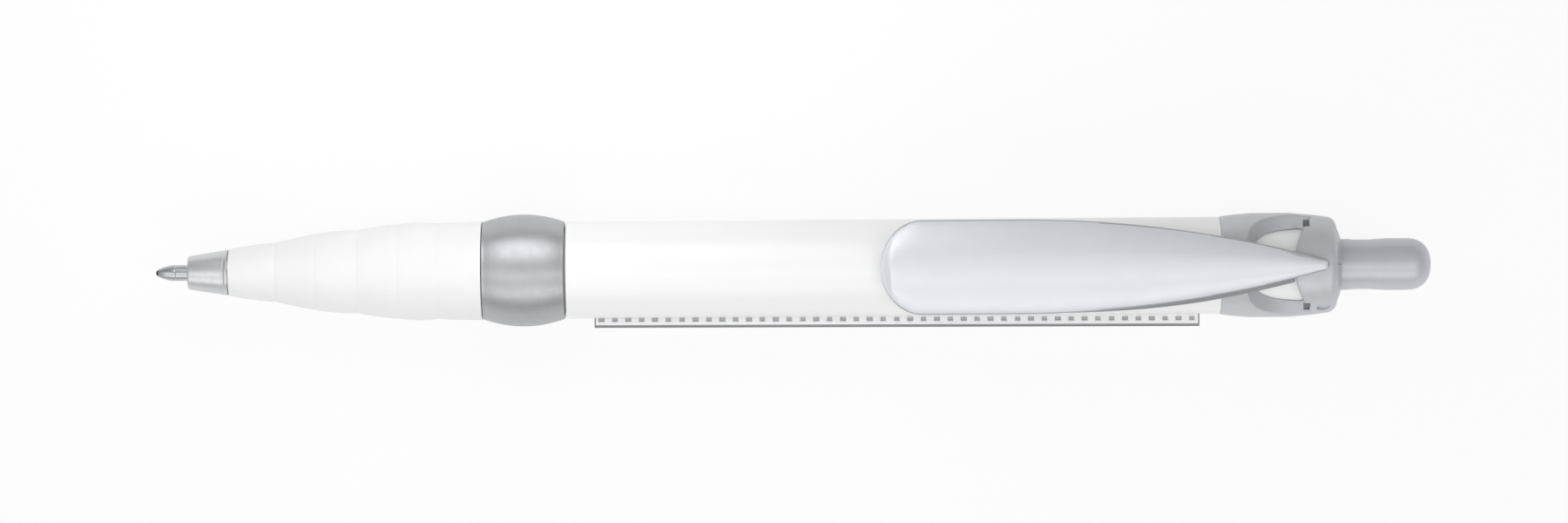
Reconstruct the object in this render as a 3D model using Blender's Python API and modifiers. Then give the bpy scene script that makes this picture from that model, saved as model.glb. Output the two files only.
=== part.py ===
"""A click pen with a pull-out banner, in metres.

The pen lies along X with its writing point at -X and its clip up. The banner's pull bar looks out
of a slot on the -Y side. The origin is below the middle of the pen, on the surface that it lies on.
The pen is shown ready to write: point out, button in, banner wound up.
"""

import math

import bmesh
import bpy
from mathutils import Matrix, Vector

# Lengths that show, from the writing point to the end of the button
TIP_REACH = 0.00374
NOSE_LENGTH = 0.00466
GRIP_LENGTH = 0.0294
RING_LENGTH = 0.0098
BANNER_WIDTH = 0.0702
BANNER_FRONT_MARGIN = 0.0033
BANNER_REAR_MARGIN = 0.0024
BUTTON_LENGTH = 0.0106

# Clearances
FIT = 0.0001  # radial, between pieces that are fixed to each other
RUN = 0.00015  # radial, between pieces that turn or slide
JOINT_GAP = 0.0001  # along the pen, between pieces that meet
PASS = 0.0003  # radial, where a piece only passes through
OVERRUN = 0.001  # how far a cutter reaches past what it cuts

# Travel of the click mechanism
PRESS_TRAVEL = 0.001
RETRACT_TRAVEL = 0.0046

# Refill
BALL_R = 0.0004
BALL_SHOWS = 0.0003
TIP_R = 0.00092
TIP_LIP = 0.00002
TIP_CONE_LENGTH = 0.0022
TIP_STEP = 0.00023
REFILL_R = 0.0015
REFILL_WALL = 0.0003
TIP_TAIL_LENGTH = 0.004
REFILL_SPRING_LENGTH = 0.0082
REFILL_SPRING_WIRE = 0.00035
REFILL_SPRING_CURLS = 9

# Nose cone
NOSE_FACE = 0.0009  # wall of the front face around the hole
NOSE_SHOULDER = 0.00042
NOSE_EDGE = 0.0003
NOSE_WALL_LENGTH = 0.0029
SPIGOT_WALL = 0.0004
SPIGOT_LENGTH = 0.0097

# Lower barrel under the grip and the ring
LOWER_WALL = 0.0004
LOWER_TAPER_WALL = 0.0009
LOWER_FRONT_INSET = 0.0039
LOWER_SHOULDER = 0.00015
LOWER_SPIGOT_WALL = 0.0004
LOWER_SPIGOT_LENGTH = 0.0027
# Its outer side under the grip: place along the grip, growth of radius to its rear
LOWER_TAPER_SHARES = ((0.2, 0.0), (0.48, 0.6), (0.74, 1.0))

# Grip
GRIP_LIP = 0.00004
GRIP_BULGE = 0.00018
GRIP_CREASE_DEPTH = 0.00007
GRIP_CREASE_WIDTH = 0.0005
GRIP_LOBE_STEPS = 3
# Where each crease lies along the grip, and how far its radius has grown from front to rear
GRIP_CREASE_SHARES = ((0.185, 0.253), (0.343, 0.58), (0.51, 0.717), (0.67, 0.927), (0.826, 0.95))
# How far each stretch between creases bulges
GRIP_LOBE_SHARES = (0.45, 0.05, 0.5, 0.45, 1.0, 0.25)

# Trim ring
RING_LIP = 0.00007
RING_SWELL = 0.0008
RING_EDGE = 0.00015
RING_STEPS = 8

# Barrel and its slot
BARREL_WALL = 0.00099
BARREL_EDGE = 0.00012
REBATE_DEPTH = 0.0005
REBATE_LENGTH = 0.0023
SLOT_CLEARANCE = 0.00025
SLOT_END_GAP = 0.00065

# Banner, its spool and its pull bar
CORE_WALL = 0.0008
CORE_STEP = 0.0004
BANNER_THICKNESS = 0.0001
BANNER_LENGTH = 0.18
SHEET_THICKNESS = 0.00012
FLANGE_RIM = 0.00033
FLANGE_CLEARANCE = 0.0002
FRONT_FLANGE_LENGTH = 0.001
REAR_FLANGE_LENGTH = 0.0007
FLANGE_GAP = 0.0003
BEARING_LENGTH = 0.002
RETURN_SPRING_LENGTH = 0.0106
RETURN_SPRING_WIRE = 0.00035
RETURN_SPRING_CURLS = 11
BAR_THICKNESS = 0.0009
BAR_STANDS_OUT = 0.0014
BAR_EDGE = 0.0002

# Click mechanism
HOUSING_WALL_LENGTH = 0.001
SLEEVE_WALL = 0.00065
RIB_HEIGHT = 0.0007
FIN_WIDTH = 0.0018
FIN_GAP = 0.00025
FIN_SIDE_GAP = 0.0002
CAM_FRONT_LENGTH = 0.0012
CAM_FIN_LENGTH = 0.0018
CAM_REAR_LENGTH = 0.0003
CAM_WALL = 0.0012
TOOTH_HEIGHT = 0.0005
TOOTH_GAP = 0.00025
TOOTH_COUNT = 8
RIB_GAP = 0.0003
PLUNGER_FRONT_LENGTH = 0.0003
PLUNGER_FIN_LENGTH = 0.0015
PLUNGER_REAR_LENGTH = 0.001
PLUNGER_PIN_R = 0.0013
PLUNGER_PIN_LENGTH = 0.005
PLUNGER_STOP_GAP = 0.0007

# Button
BUTTON_NECK_R = 0.00288
BUTTON_HEAD_SWELL = 0.00013
BUTTON_DOME_LENGTH = 0.003
BUTTON_DOME_STEPS = 6
BUTTON_DOME_POWER = 0.83
# Waist and head, up to the dome: place along what shows, growth of radius from neck to head
BUTTON_SHARES = ((0.0, 0.7), (0.1, 0.5), (0.17, 0.0), (0.31, 0.0), (0.42, 0.6), (0.55, 1.0))

# Cap
CAP_LIP = 0.00003
CAP_SWELL = 0.00041
CAP_FALL = 0.00046
CAP_END_WALL = 0.0003
CAP_WALL_LENGTH = 0.0012
CAP_CORNER = 0.0011
CAP_CORNER_STEPS = 3
# Swell of the cap's front and the fall to its shoulder: place along the cap, share of the change
CAP_SWELL_SHARES = ((0.0, 0.0), (0.04, 0.25), (0.11, 0.58), (0.18, 0.78), (0.26, 1.0))
CAP_FALL_SHARES = ((0.58, 0.0), (0.65, 0.2), (0.76, 0.5), (0.84, 0.8), (0.88, 1.0))
CAP_CORNER_SHARE = 0.75
WINDOW_INSET = 0.0027  # behind the cap's front
WINDOW_SCOOP_LENGTH = 0.0077
WINDOW_SCOOP_STEPS = 14
WINDOW_LEDGE_Z = 0.0015  # above the pen's axis
COLLAR_INSET = 0.0084  # middle of the collar's front edge, behind the cap's front
COLLAR_FRONT_R = 0.0082

# Clip
CLIP_REACH = 0.03944  # free end, in front of the cap
CLIP_OVERLAP = 0.01256  # point, behind the cap's front
CLIP_HALF_WIDTH = 0.00545
CLIP_NOSE_LENGTH = 0.0048
CLIP_TAPER_START = 0.0235  # in front of the cap
CLIP_TAPER_LENGTH = 0.03506
CLIP_POINT_LENGTH = 0.001
CLIP_POINT_HALF_WIDTH = 0.00076
CLIP_GAP = 0.00015
CLIP_RISE = 0.0004
CLIP_THICKNESS = 0.0019
CLIP_POINT_THICKNESS = 0.0006
CLIP_EDGE_THICKNESS = 0.0012
CLIP_DROP = 0.0009  # how far its underside's edges hang below its middle
CLIP_THINNING_SHARE = 0.667  # share of its full width where it starts to thin to its point
CLIP_ROUNDING = 0.0006
CLIP_SIDE_POINTS = 18
CLIP_NOSE_ANGLES = (5, 14, 24, 36, 50, 64, 78, 90)
CLIP_MIDDLE_STEPS = 2
CLIP_TAPER_STEPS = 11
CLIP_POINT_ANGLES = (25, 50, 70, 84)
CLIP_SQUARENESS = 0.5
PAD_R = 0.0021
PAD_INSET = 0.0085
TAB_LENGTH = 0.0014
TAB_WIDTH = 0.0012
TAB_DEPTH = 0.0006
TAB_INSET = 0.0018
TAB_CLEARANCE = 0.0002

# How round the pieces are made
OUTER_SIDES = 40
INNER_SIDES = 32
SMALL_SIDES = 24
BALL_SIDES = 12
BALL_RINGS = 8
TIP_CONE_STEPS = 6
NOSE_EDGE_STEPS = 3
BEVEL_STEPS = 2
CURL_POINTS = 9
SHARP_ANGLE = math.radians(35)
MERGE = 1e-6

# A curl is a polygon, whose sides come this share of its radius near to the axis
CURL_FLAT_SHARE = math.cos(math.pi / CURL_POINTS)

# Refill and nose, from the refill outwards. Places are measured from the writing point
NOSE_X = TIP_REACH
GRIP_X = NOSE_X + NOSE_LENGTH
TIP_STEP_R = TIP_R + TIP_STEP
SPRING_SEAT_X = NOSE_X + NOSE_WALL_LENGTH
TIP_STEP_X = SPRING_SEAT_X + PRESS_TRAVEL + JOINT_GAP
TUBE_X = SPRING_SEAT_X + REFILL_SPRING_LENGTH + 2 * JOINT_GAP
TIP_TAIL_R = min(TIP_STEP_R, REFILL_R - REFILL_WALL - FIT / 2)
REFILL_SPRING_R = (TIP_STEP_R + FIT + REFILL_SPRING_WIRE / 2) / CURL_FLAT_SHARE
NOSE_HOLE_R = TIP_R + FIT
NOSE_FRONT_R = NOSE_HOLE_R + NOSE_FACE
SPIGOT_BORE_R = REFILL_SPRING_R + REFILL_SPRING_WIRE / 2 + RUN
SPIGOT_R = SPIGOT_BORE_R + SPIGOT_WALL
NOSE_REAR_R = SPIGOT_R + NOSE_SHOULDER
SPIGOT_END_X = GRIP_X + SPIGOT_LENGTH

# Spool, lower barrel and barrel, from the refill outwards
RING_X = GRIP_X + GRIP_LENGTH
BARREL_X = RING_X + RING_LENGTH
ROLL_X = BARREL_X + BANNER_FRONT_MARGIN
ROLL_END_X = ROLL_X + BANNER_WIDTH
CAP_X = ROLL_END_X + BANNER_REAR_MARGIN
CORE_BORE_R = REFILL_R + PASS
CORE_R = CORE_BORE_R + CORE_WALL
CORE_EXTENSION_R = CORE_R - CORE_STEP
ROLL_INNER_R = CORE_R + FIT
ROLL_R = math.sqrt(ROLL_INNER_R**2 + BANNER_THICKNESS * BANNER_LENGTH / math.pi)
FLANGE_R = ROLL_R + FLANGE_RIM
LOWER_BORE_R = FLANGE_R + FLANGE_CLEARANCE
LOWER_SPIGOT_R = LOWER_BORE_R + LOWER_SPIGOT_WALL
LOWER_REAR_R = LOWER_SPIGOT_R + LOWER_SHOULDER
LOWER_FRONT_BORE_R = SPIGOT_R + FIT
LOWER_FRONT_R = LOWER_FRONT_BORE_R + LOWER_WALL
LOWER_X = GRIP_X + LOWER_FRONT_INSET
LOWER_END_X = BARREL_X + LOWER_SPIGOT_LENGTH
BARREL_BORE_R = LOWER_SPIGOT_R + FIT
BARREL_R = BARREL_BORE_R + BARREL_WALL
BARREL_END_X = CAP_X + REBATE_LENGTH
RING_END_R = BARREL_R + RING_LIP
RING_R = RING_END_R + RING_SWELL
GRIP_FRONT_R = NOSE_REAR_R + GRIP_LIP
GRIP_REAR_R = RING_END_R
FRONT_FLANGE_X = ROLL_X - FLANGE_GAP - FRONT_FLANGE_LENGTH
REAR_FLANGE_X = ROLL_END_X + FLANGE_GAP
REAR_FLANGE_END_X = REAR_FLANGE_X + REAR_FLANGE_LENGTH
BEARING_END_X = FRONT_FLANGE_X - RETURN_SPRING_LENGTH - 2 * JOINT_GAP
BEARING_X = BEARING_END_X - BEARING_LENGTH
LOWER_STEP_X = BEARING_X - JOINT_GAP
RETURN_SPRING_R = (CORE_EXTENSION_R + RUN + RETURN_SPRING_WIRE / 2) / CURL_FLAT_SHARE
BAR_INNER_R = BARREL_BORE_R + RUN
BAR_OUTER_R = BARREL_R + BAR_STANDS_OUT
SLOT_HEIGHT = BAR_THICKNESS + 2 * SLOT_CLEARANCE

# Click mechanism, cap and button
HOUSING_X = REAR_FLANGE_END_X + FLANGE_GAP
HOUSING_ROOM_X = HOUSING_X + HOUSING_WALL_LENGTH
RIB_R = BUTTON_NECK_R + RUN
GROOVE_R = RIB_R + RIB_HEIGHT
SLEEVE_R = GROOVE_R + SLEEVE_WALL
HOUSING_R = BARREL_BORE_R - FIT
GROOVE_WIDTH = FIN_WIDTH + 2 * FIN_SIDE_GAP
CAM_X = HOUSING_ROOM_X + PRESS_TRAVEL + RUN
CAM_FIN_X = CAM_X + CAM_FRONT_LENGTH
CAM_FIN_END_X = CAM_FIN_X + CAM_FIN_LENGTH
CAM_END_X = CAM_FIN_END_X + CAM_REAR_LENGTH
RIB_X = CAM_FIN_END_X + RIB_GAP
CAM_R = RIB_R - RUN
PLUNGER_X = CAM_END_X + TOOTH_HEIGHT + TOOTH_GAP
PLUNGER_FIN_X = PLUNGER_X + TOOTH_HEIGHT + PLUNGER_FRONT_LENGTH
PLUNGER_FIN_END_X = PLUNGER_FIN_X + PLUNGER_FIN_LENGTH
PLUNGER_END_X = PLUNGER_FIN_END_X + PLUNGER_REAR_LENGTH
FIN_R = math.sqrt((GROOVE_R - FIN_GAP) ** 2 - (FIN_WIDTH / 2) ** 2)
REFILL_END_X = CAM_FIN_X - JOINT_GAP
CAP_WALL_X = PLUNGER_FIN_END_X + RETRACT_TRAVEL + PLUNGER_STOP_GAP
HOUSING_END_X = CAP_WALL_X - RUN
BUTTON_X = CAP_WALL_X + CAP_WALL_LENGTH
BUTTON_FOOT_X = PLUNGER_END_X + JOINT_GAP
BUTTON_HEAD_R = BUTTON_NECK_R + BUTTON_HEAD_SWELL
BUTTON_HOLE_R = BUTTON_HEAD_R + RUN
END_X = BUTTON_X + BUTTON_LENGTH
CAP_FRONT_R = BARREL_R + CAP_LIP
CAP_R = BARREL_R + CAP_SWELL
CAP_SHOULDER_R = CAP_R - CAP_FALL
CAP_END_R = BUTTON_HOLE_R + CAP_END_WALL
CAP_REBATE_R = BARREL_R - REBATE_DEPTH + FIT
CAP_STEP_X = BARREL_END_X + JOINT_GAP
CAP_BORE_R = SLEEVE_R + FIT

# Clip
CLIP_X = CAP_X - CLIP_REACH
CLIP_NOSE_END_X = CLIP_X + CLIP_NOSE_LENGTH
CLIP_TAPER_X = CAP_X - CLIP_TAPER_START
CLIP_END_X = CAP_X + CLIP_OVERLAP
CLIP_POINT_X = CLIP_END_X - CLIP_POINT_LENGTH
PAD_X = CLIP_X + PAD_INSET
TAB_END_X = CLIP_END_X - TAB_INSET
TAB_X = TAB_END_X - TAB_LENGTH

COLOURS = {
    "ball": ((0.42, 0.42, 0.44), 0.2, 1.0),
    "tip_metal": ((0.62, 0.62, 0.64), 0.28, 1.0),
    "satin_metal": ((0.6, 0.61, 0.62), 0.35, 1.0),
    "spring_steel": ((0.55, 0.55, 0.56), 0.3, 1.0),
    "rubber": ((0.9, 0.9, 0.9), 0.6, 0.0),
    "white_gloss": ((0.92, 0.92, 0.93), 0.15, 0.0),
    "white_inner": ((0.85, 0.86, 0.85), 0.35, 0.0),
    "silver_plastic": ((0.45, 0.46, 0.48), 0.32, 0.0),
    "clip_plastic": ((0.75, 0.77, 0.8), 0.28, 0.0),
    "button_plastic": ((0.48, 0.5, 0.55), 0.35, 0.0),
    "refill_plastic": ((0.8, 0.82, 0.85), 0.25, 0.0),
    "banner_film": ((0.93, 0.93, 0.93), 0.45, 0.0),
    "bar_metal": ((0.78, 0.79, 0.8), 0.3, 1.0),
    "cam_plastic": ((0.82, 0.83, 0.8), 0.4, 0.0),
}


def clear_scene():
    for old in list(bpy.data.objects):
        bpy.data.objects.remove(old, do_unlink=True)


def collection(name):
    made = bpy.data.collections.new(name)
    bpy.context.scene.collection.children.link(made)
    return made


def material(slot):
    made = bpy.data.materials.get(slot)
    if made is None:
        made = bpy.data.materials.new(slot)
        made.use_nodes = True
        colour, roughness, metallic = COLOURS[slot]
        shader = made.node_tree.nodes["Principled BSDF"]
        shader.inputs["Base Color"].default_value = (*colour, 1)
        shader.inputs["Roughness"].default_value = roughness
        shader.inputs["Metallic"].default_value = metallic
    return made


def new_object(name, data, slot):
    """An object among the pen's parts, or among the cutters if it has no material slot."""
    made = bpy.data.objects.new(name, data)
    made.parent = pen
    if slot:
        parts.objects.link(made)
        data.materials.append(material(slot))
    else:
        cutters.objects.link(made)
        made.hide_render = True
        made.display_type = "WIRE"
    return made


def mesh_object(name, shape, slot):
    bmesh.ops.recalc_face_normals(shape, faces=shape.faces)
    mesh = bpy.data.meshes.new(name)
    shape.to_mesh(mesh)
    shape.free()
    mesh.shade_smooth()
    mesh.set_sharp_from_angle(angle=SHARP_ANGLE)
    return new_object(name, mesh, slot)


def turned(name, outline, slot=None, sides=INNER_SIDES):
    """An outline of (place along the pen, radius) turned about the pen's axis.

    It runs from the rear to the front on its outer side, and back through the bore if there is one.
    """
    mesh = bpy.data.meshes.new(name)
    points = [(radius, 0, place) for place, radius in outline]
    edges = [(i, i + 1) for i in range(len(points) - 1)]
    has_bore = outline[0][1] > 0
    if has_bore:
        edges.append((len(points) - 1, 0))
    mesh.from_pydata(points, edges, [])
    made = new_object(name, mesh, slot)
    made.rotation_euler = (0, math.pi / 2, 0)
    screw = made.modifiers.new("turn", "SCREW")
    screw.steps = screw.render_steps = sides
    screw.use_merge_vertices = True
    screw.merge_threshold = MERGE
    screw.use_smooth_shade = True
    return made


def tube(name, start, end, inner, outer, slot=None, sides=INNER_SIDES):
    outline = [(end, outer), (start, outer), (start, inner), (end, inner)]
    return turned(name, outline, slot, sides)


def rod(name, start, end, radius, slot=None, sides=INNER_SIDES):
    return turned(name, [(end, 0), (end, radius), (start, radius), (start, 0)], slot, sides)


def block(name, low, high, slot=None):
    shape = bmesh.new()
    bmesh.ops.create_cube(shape, size=1)
    low, high = Vector(low), Vector(high)
    bmesh.ops.scale(shape, vec=high - low, verts=shape.verts)
    bmesh.ops.translate(shape, vec=(low + high) / 2, verts=shape.verts)
    return mesh_object(name, shape, slot)


def upright(name, centre_x, radius, low, high, sides=INNER_SIDES):
    """A cylinder cutter that stands along Z."""
    shape = bmesh.new()
    bmesh.ops.create_cone(
        shape, cap_ends=True, segments=sides, radius1=radius, radius2=radius, depth=high - low
    )
    bmesh.ops.translate(shape, vec=(centre_x, 0, (low + high) / 2), verts=shape.verts)
    return mesh_object(name, shape, None)


def loft(name, sections, slot=None, closed=False):
    """A skin over rings of as many points each. Its ends are capped, or meet if it is closed."""
    shape = bmesh.new()
    rings = [[shape.verts.new(point) for point in section] for section in sections]
    pairs = list(zip(rings, rings[1:]))
    if closed:
        pairs.append((rings[-1], rings[0]))
    else:
        shape.faces.new(rings[0])
        shape.faces.new(rings[-1])
    for first, second in pairs:
        for i in range(len(first)):
            j = (i + 1) % len(first)
            shape.faces.new((first[i], first[j], second[j], second[i]))
    return mesh_object(name, shape, slot)


def boolean(piece, operation, other):
    change = piece.modifiers.new(f"{operation.lower()}_{other.name}", "BOOLEAN")
    change.operation = operation
    change.object = other
    change.solver = "EXACT"


def bevel(piece, width):
    rounding = piece.modifiers.new("rounding", "BEVEL")
    rounding.width = width
    rounding.segments = BEVEL_STEPS
    rounding.limit_method = "ANGLE"
    rounding.angle_limit = SHARP_ANGLE


def arc(centre, sizes, start, end, steps):
    """Points of an elliptic arc in (place, radius), by angles in degrees from the rear."""
    points = []
    for i in range(steps + 1):
        angle = math.radians(between(start, end, i / steps))
        points.append(
            (centre[0] + sizes[0] * math.cos(angle), centre[1] + sizes[1] * math.sin(angle))
        )
    return points


def between(low, high, share):
    return low + (high - low) * share


def around(radius, angle):
    return radius * math.cos(angle), radius * math.sin(angle)


def coil(name, start, end, radius, wire, curls):
    """A wire spring about the pen's axis, whose ends turn to run straight along the pen."""
    curl_x = start + 2 * wire
    run = end - start - 4 * wire
    lead = wire / radius
    whole = 2 * math.pi * curls
    route = [(start, 0), (start + wire, 0)]
    for i in range(CURL_POINTS * curls + 1):
        share = i / (CURL_POINTS * curls)
        route.append((curl_x + run * share, lead + whole * share))
    route += [(end - wire, whole + 2 * lead), (end, whole + 2 * lead)]
    points = [Vector((x, *around(radius, angle))) for x, angle in route]
    least = min(
        (points[i] - points[j]).length
        for i in range(len(points))
        for j in range(i + CURL_POINTS // 2, len(points))
    )
    print(f"{name}: least gap to itself {1000 * (least - wire):.2f} mm")
    curve = bpy.data.curves.new(name, "CURVE")
    curve.dimensions = "3D"
    curve.bevel_depth = wire / 2
    curve.bevel_resolution = 1
    curve.use_fill_caps = True
    spline = curve.splines.new("POLY")
    spline.points.add(len(points) - 1)
    for spot, point in zip(spline.points, points):
        spot.co = (*point, 1)
    return new_object(name, curve, "spring_steel")


def refill():
    ball = bmesh.new()
    bmesh.ops.create_uvsphere(ball, u_segments=BALL_SIDES, v_segments=BALL_RINGS, radius=BALL_R)
    mesh_object("tip_ball", ball, "ball").location = (BALL_R, 0, 0)
    socket_r = BALL_R + FIT / 2
    socket_end_x = 2 * BALL_R + FIT
    mouth_r = socket_r + TIP_LIP
    cone_length = TIP_CONE_LENGTH - BALL_SHOWS
    outline = [
        (TUBE_X + TIP_TAIL_LENGTH, 0),
        (TUBE_X + TIP_TAIL_LENGTH, TIP_TAIL_R),
        (TIP_STEP_X, TIP_TAIL_R),
        (TIP_STEP_X, TIP_R),
        *arc((TIP_CONE_LENGTH, mouth_r), (-cone_length, TIP_R - mouth_r), 90, 0, TIP_CONE_STEPS),
        (BALL_SHOWS, socket_r),
        (socket_end_x, socket_r),
        (socket_end_x, 0),
    ]
    turned("refill_tip", outline, "tip_metal", SMALL_SIDES)
    inner_r = REFILL_R - REFILL_WALL
    tube("refill_tube", TUBE_X, REFILL_END_X, inner_r, REFILL_R, "refill_plastic", SMALL_SIDES)
    coil(
        "refill_spring",
        SPRING_SEAT_X + JOINT_GAP,
        TUBE_X - JOINT_GAP,
        REFILL_SPRING_R,
        REFILL_SPRING_WIRE,
        REFILL_SPRING_CURLS,
    )


def nose():
    edge_centre = (NOSE_X + NOSE_EDGE, NOSE_FRONT_R - NOSE_EDGE)
    outline = [
        (SPIGOT_END_X, SPIGOT_R),
        (GRIP_X, SPIGOT_R),
        (GRIP_X, NOSE_REAR_R),
        *arc(edge_centre, (NOSE_EDGE, NOSE_EDGE), 90, 180, NOSE_EDGE_STEPS),
        (NOSE_X, NOSE_HOLE_R),
        (SPRING_SEAT_X, NOSE_HOLE_R),
        (SPRING_SEAT_X, SPIGOT_BORE_R),
        (SPIGOT_END_X, SPIGOT_BORE_R),
    ]
    turned("nose_cone", outline, "satin_metal")


def lower_taper(grow):
    """The lower barrel's side under the grip, front to rear, grown by a clearance."""
    return [
        (between(GRIP_X, RING_X, place), between(LOWER_FRONT_R, LOWER_REAR_R, share) + grow)
        for place, share in LOWER_TAPER_SHARES
    ]


def lower_barrel():
    neck_x = SPIGOT_END_X + JOINT_GAP
    bore = [(place, r) for place, r in lower_taper(-LOWER_TAPER_WALL) if place > neck_x]
    outline = [
        (LOWER_END_X, LOWER_SPIGOT_R),
        (BARREL_X, LOWER_SPIGOT_R),
        (BARREL_X, LOWER_REAR_R),
        *reversed(lower_taper(0)),
        (LOWER_X, LOWER_FRONT_R),
        (LOWER_X, LOWER_FRONT_BORE_R),
        (neck_x, LOWER_FRONT_BORE_R),
        *bore,
        (LOWER_STEP_X, bore[-1][1]),
        (LOWER_STEP_X, LOWER_BORE_R),
        (LOWER_END_X, LOWER_BORE_R),
    ]
    turned("lower_barrel", outline, "white_inner")


def grip_side():
    """The grip's outer side, front to rear: soft lobes between creases."""
    start, end = GRIP_X + JOINT_GAP, RING_X - JOINT_GAP
    marks = [(0, 0), *GRIP_CREASE_SHARES, (1, 1)]
    places = [between(start, end, place) for place, _ in marks]
    radii = [between(GRIP_FRONT_R, GRIP_REAR_R, grown) for _, grown in marks]
    half_crease = GRIP_CREASE_WIDTH / 2
    points = [(start, GRIP_FRONT_R)]
    for i, lobe_share in enumerate(GRIP_LOBE_SHARES):
        first = i == 0
        last = i == len(GRIP_LOBE_SHARES) - 1
        low_x = places[i] + (0 if first else half_crease)
        high_x = places[i + 1] - (0 if last else half_crease)
        if not first:
            points.append((places[i], radii[i] - GRIP_CREASE_DEPTH))
        for step in range(1 if first else 0, GRIP_LOBE_STEPS + 1):
            share = step / GRIP_LOBE_STEPS
            swell = GRIP_BULGE * lobe_share * math.sin(math.pi * share)
            radius = between(radii[i], radii[i + 1], share) + swell
            points.append((between(low_x, high_x, share), radius))
    return points


def grip():
    start, end = GRIP_X + JOINT_GAP, RING_X - JOINT_GAP
    step_x = LOWER_X - JOINT_GAP
    bore = [
        (start, SPIGOT_R + FIT),
        (step_x, SPIGOT_R + FIT),
        (step_x, LOWER_FRONT_R + FIT),
        *lower_taper(FIT),
        (end, LOWER_REAR_R + FIT),
    ]
    turned("grip_sleeve", [*reversed(grip_side()), *bore], "rubber", OUTER_SIDES)


def ring():
    start, end = RING_X, BARREL_X - JOINT_GAP
    crown = []
    for i in range(RING_STEPS + 1):
        share = i / RING_STEPS
        place = between(end - RING_EDGE, start + RING_EDGE, share)
        crown.append((place, RING_END_R + RING_SWELL * (1 - (2 * share - 1) ** 2)))
    outline = [
        (end, LOWER_REAR_R + FIT),
        (end, RING_END_R - RING_EDGE),
        *crown,
        (start, RING_END_R - RING_EDGE),
        (start, LOWER_REAR_R + FIT),
    ]
    turned("trim_ring", outline, "satin_metal", OUTER_SIDES)


def barrel():
    rebate_r = BARREL_R - REBATE_DEPTH
    start = BARREL_X + JOINT_GAP
    outline = [
        (BARREL_END_X, rebate_r),
        (CAP_X, rebate_r),
        (CAP_X, BARREL_R - BARREL_EDGE),
        (CAP_X - BARREL_EDGE, BARREL_R),
        (start + BARREL_EDGE, BARREL_R),
        (start, BARREL_R - BARREL_EDGE),
        (start, BARREL_BORE_R),
        (BARREL_END_X, BARREL_BORE_R),
    ]
    made = turned("barrel_tube", outline, "white_gloss", OUTER_SIDES)
    slot = block(
        "slot_cutter",
        (ROLL_X - SLOT_END_GAP, -BARREL_R - OVERRUN, -SLOT_HEIGHT / 2),
        (ROLL_END_X + SLOT_END_GAP, -CORE_R, SLOT_HEIGHT / 2),
    )
    boolean(made, "DIFFERENCE", slot)


def spool():
    bearing_r = CORE_EXTENSION_R + FIT
    tube("spool_bearing", BEARING_X, BEARING_END_X, bearing_r, LOWER_BORE_R - FIT, "white_inner")
    core_x = BEARING_X + JOINT_GAP
    outline = [
        (HOUSING_ROOM_X, CORE_EXTENSION_R),
        (REAR_FLANGE_END_X, CORE_EXTENSION_R),
        (REAR_FLANGE_END_X, CORE_R),
        (FRONT_FLANGE_X, CORE_R),
        (FRONT_FLANGE_X, CORE_EXTENSION_R),
        (core_x, CORE_EXTENSION_R),
        (core_x, CORE_BORE_R),
        (HOUSING_ROOM_X, CORE_BORE_R),
    ]
    turned("spool_core", outline, "cam_plastic")
    for name, start, length in (
        ("spool_flange_front", FRONT_FLANGE_X, FRONT_FLANGE_LENGTH),
        ("spool_flange_rear", REAR_FLANGE_X, REAR_FLANGE_LENGTH),
    ):
        tube(name, start, start + length, CORE_R + FIT, FLANGE_R, "cam_plastic")
    tube("banner_roll", ROLL_X, ROLL_END_X, ROLL_INNER_R, ROLL_R, "banner_film")
    coil(
        "return_spring",
        BEARING_END_X + JOINT_GAP,
        FRONT_FLANGE_X - JOINT_GAP,
        RETURN_SPRING_R,
        RETURN_SPRING_WIRE,
        RETURN_SPRING_CURLS,
    )


def banner_end():
    """The pull bar in the slot, and the film that leaves the roll along its tangent to meet the bar."""
    half = BAR_THICKNESS / 2
    bar = block(
        "pull_bar", (ROLL_X, -BAR_OUTER_R, -half), (ROLL_END_X, -BAR_INNER_R, half), "bar_metal"
    )
    bevel(bar, BAR_EDGE)
    half = SHEET_THICKNESS / 2
    touch_r = ROLL_R + FIT + half
    far_r = BAR_INNER_R - FIT - half
    angle = math.acos(touch_r / far_r)
    leaves = Vector((-math.cos(angle), math.sin(angle)))
    heads = Vector((-math.sin(angle), -math.cos(angle)))
    touch = leaves * touch_r
    far = touch + heads * math.sqrt(far_r**2 - touch_r**2)
    corners = [
        touch + leaves * half,
        far + leaves * half,
        far - leaves * half,
        touch - leaves * half,
    ]
    sections = [[(x, *corner) for corner in corners] for x in (ROLL_X, ROLL_END_X)]
    loft("banner_sheet", sections, "banner_film")


def crowned(name, plain_x, crown_x, inner, outer):
    """A tube with teeth on its end at crown_x, which point away from the plain end."""
    side = 1 if crown_x > plain_x else -1
    sections = []
    for place, radius, height in (
        (plain_x, outer, 0),
        (crown_x, outer, TOOTH_HEIGHT),
        (crown_x, inner, TOOTH_HEIGHT),
        (plain_x, inner, 0),
    ):
        points = []
        for i in range(INNER_SIDES):
            turn = i / INNER_SIDES
            rise = abs(turn * TOOTH_COUNT % 1 * 2 - 1) * height
            points.append((place + side * rise, *around(radius, math.tau * turn)))
        sections.append(points)
    return loft(name, sections, "cam_plastic", closed=True)


def add_fins(piece, start, end):
    half = FIN_WIDTH / 2
    for way, half_y, half_z in (("level", FIN_R, half), ("upright", half, FIN_R)):
        fins = block(f"{piece.name}_{way}_fins", (start, -half_y, -half_z), (end, half_y, half_z))
        boolean(piece, "UNION", fins)


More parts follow.
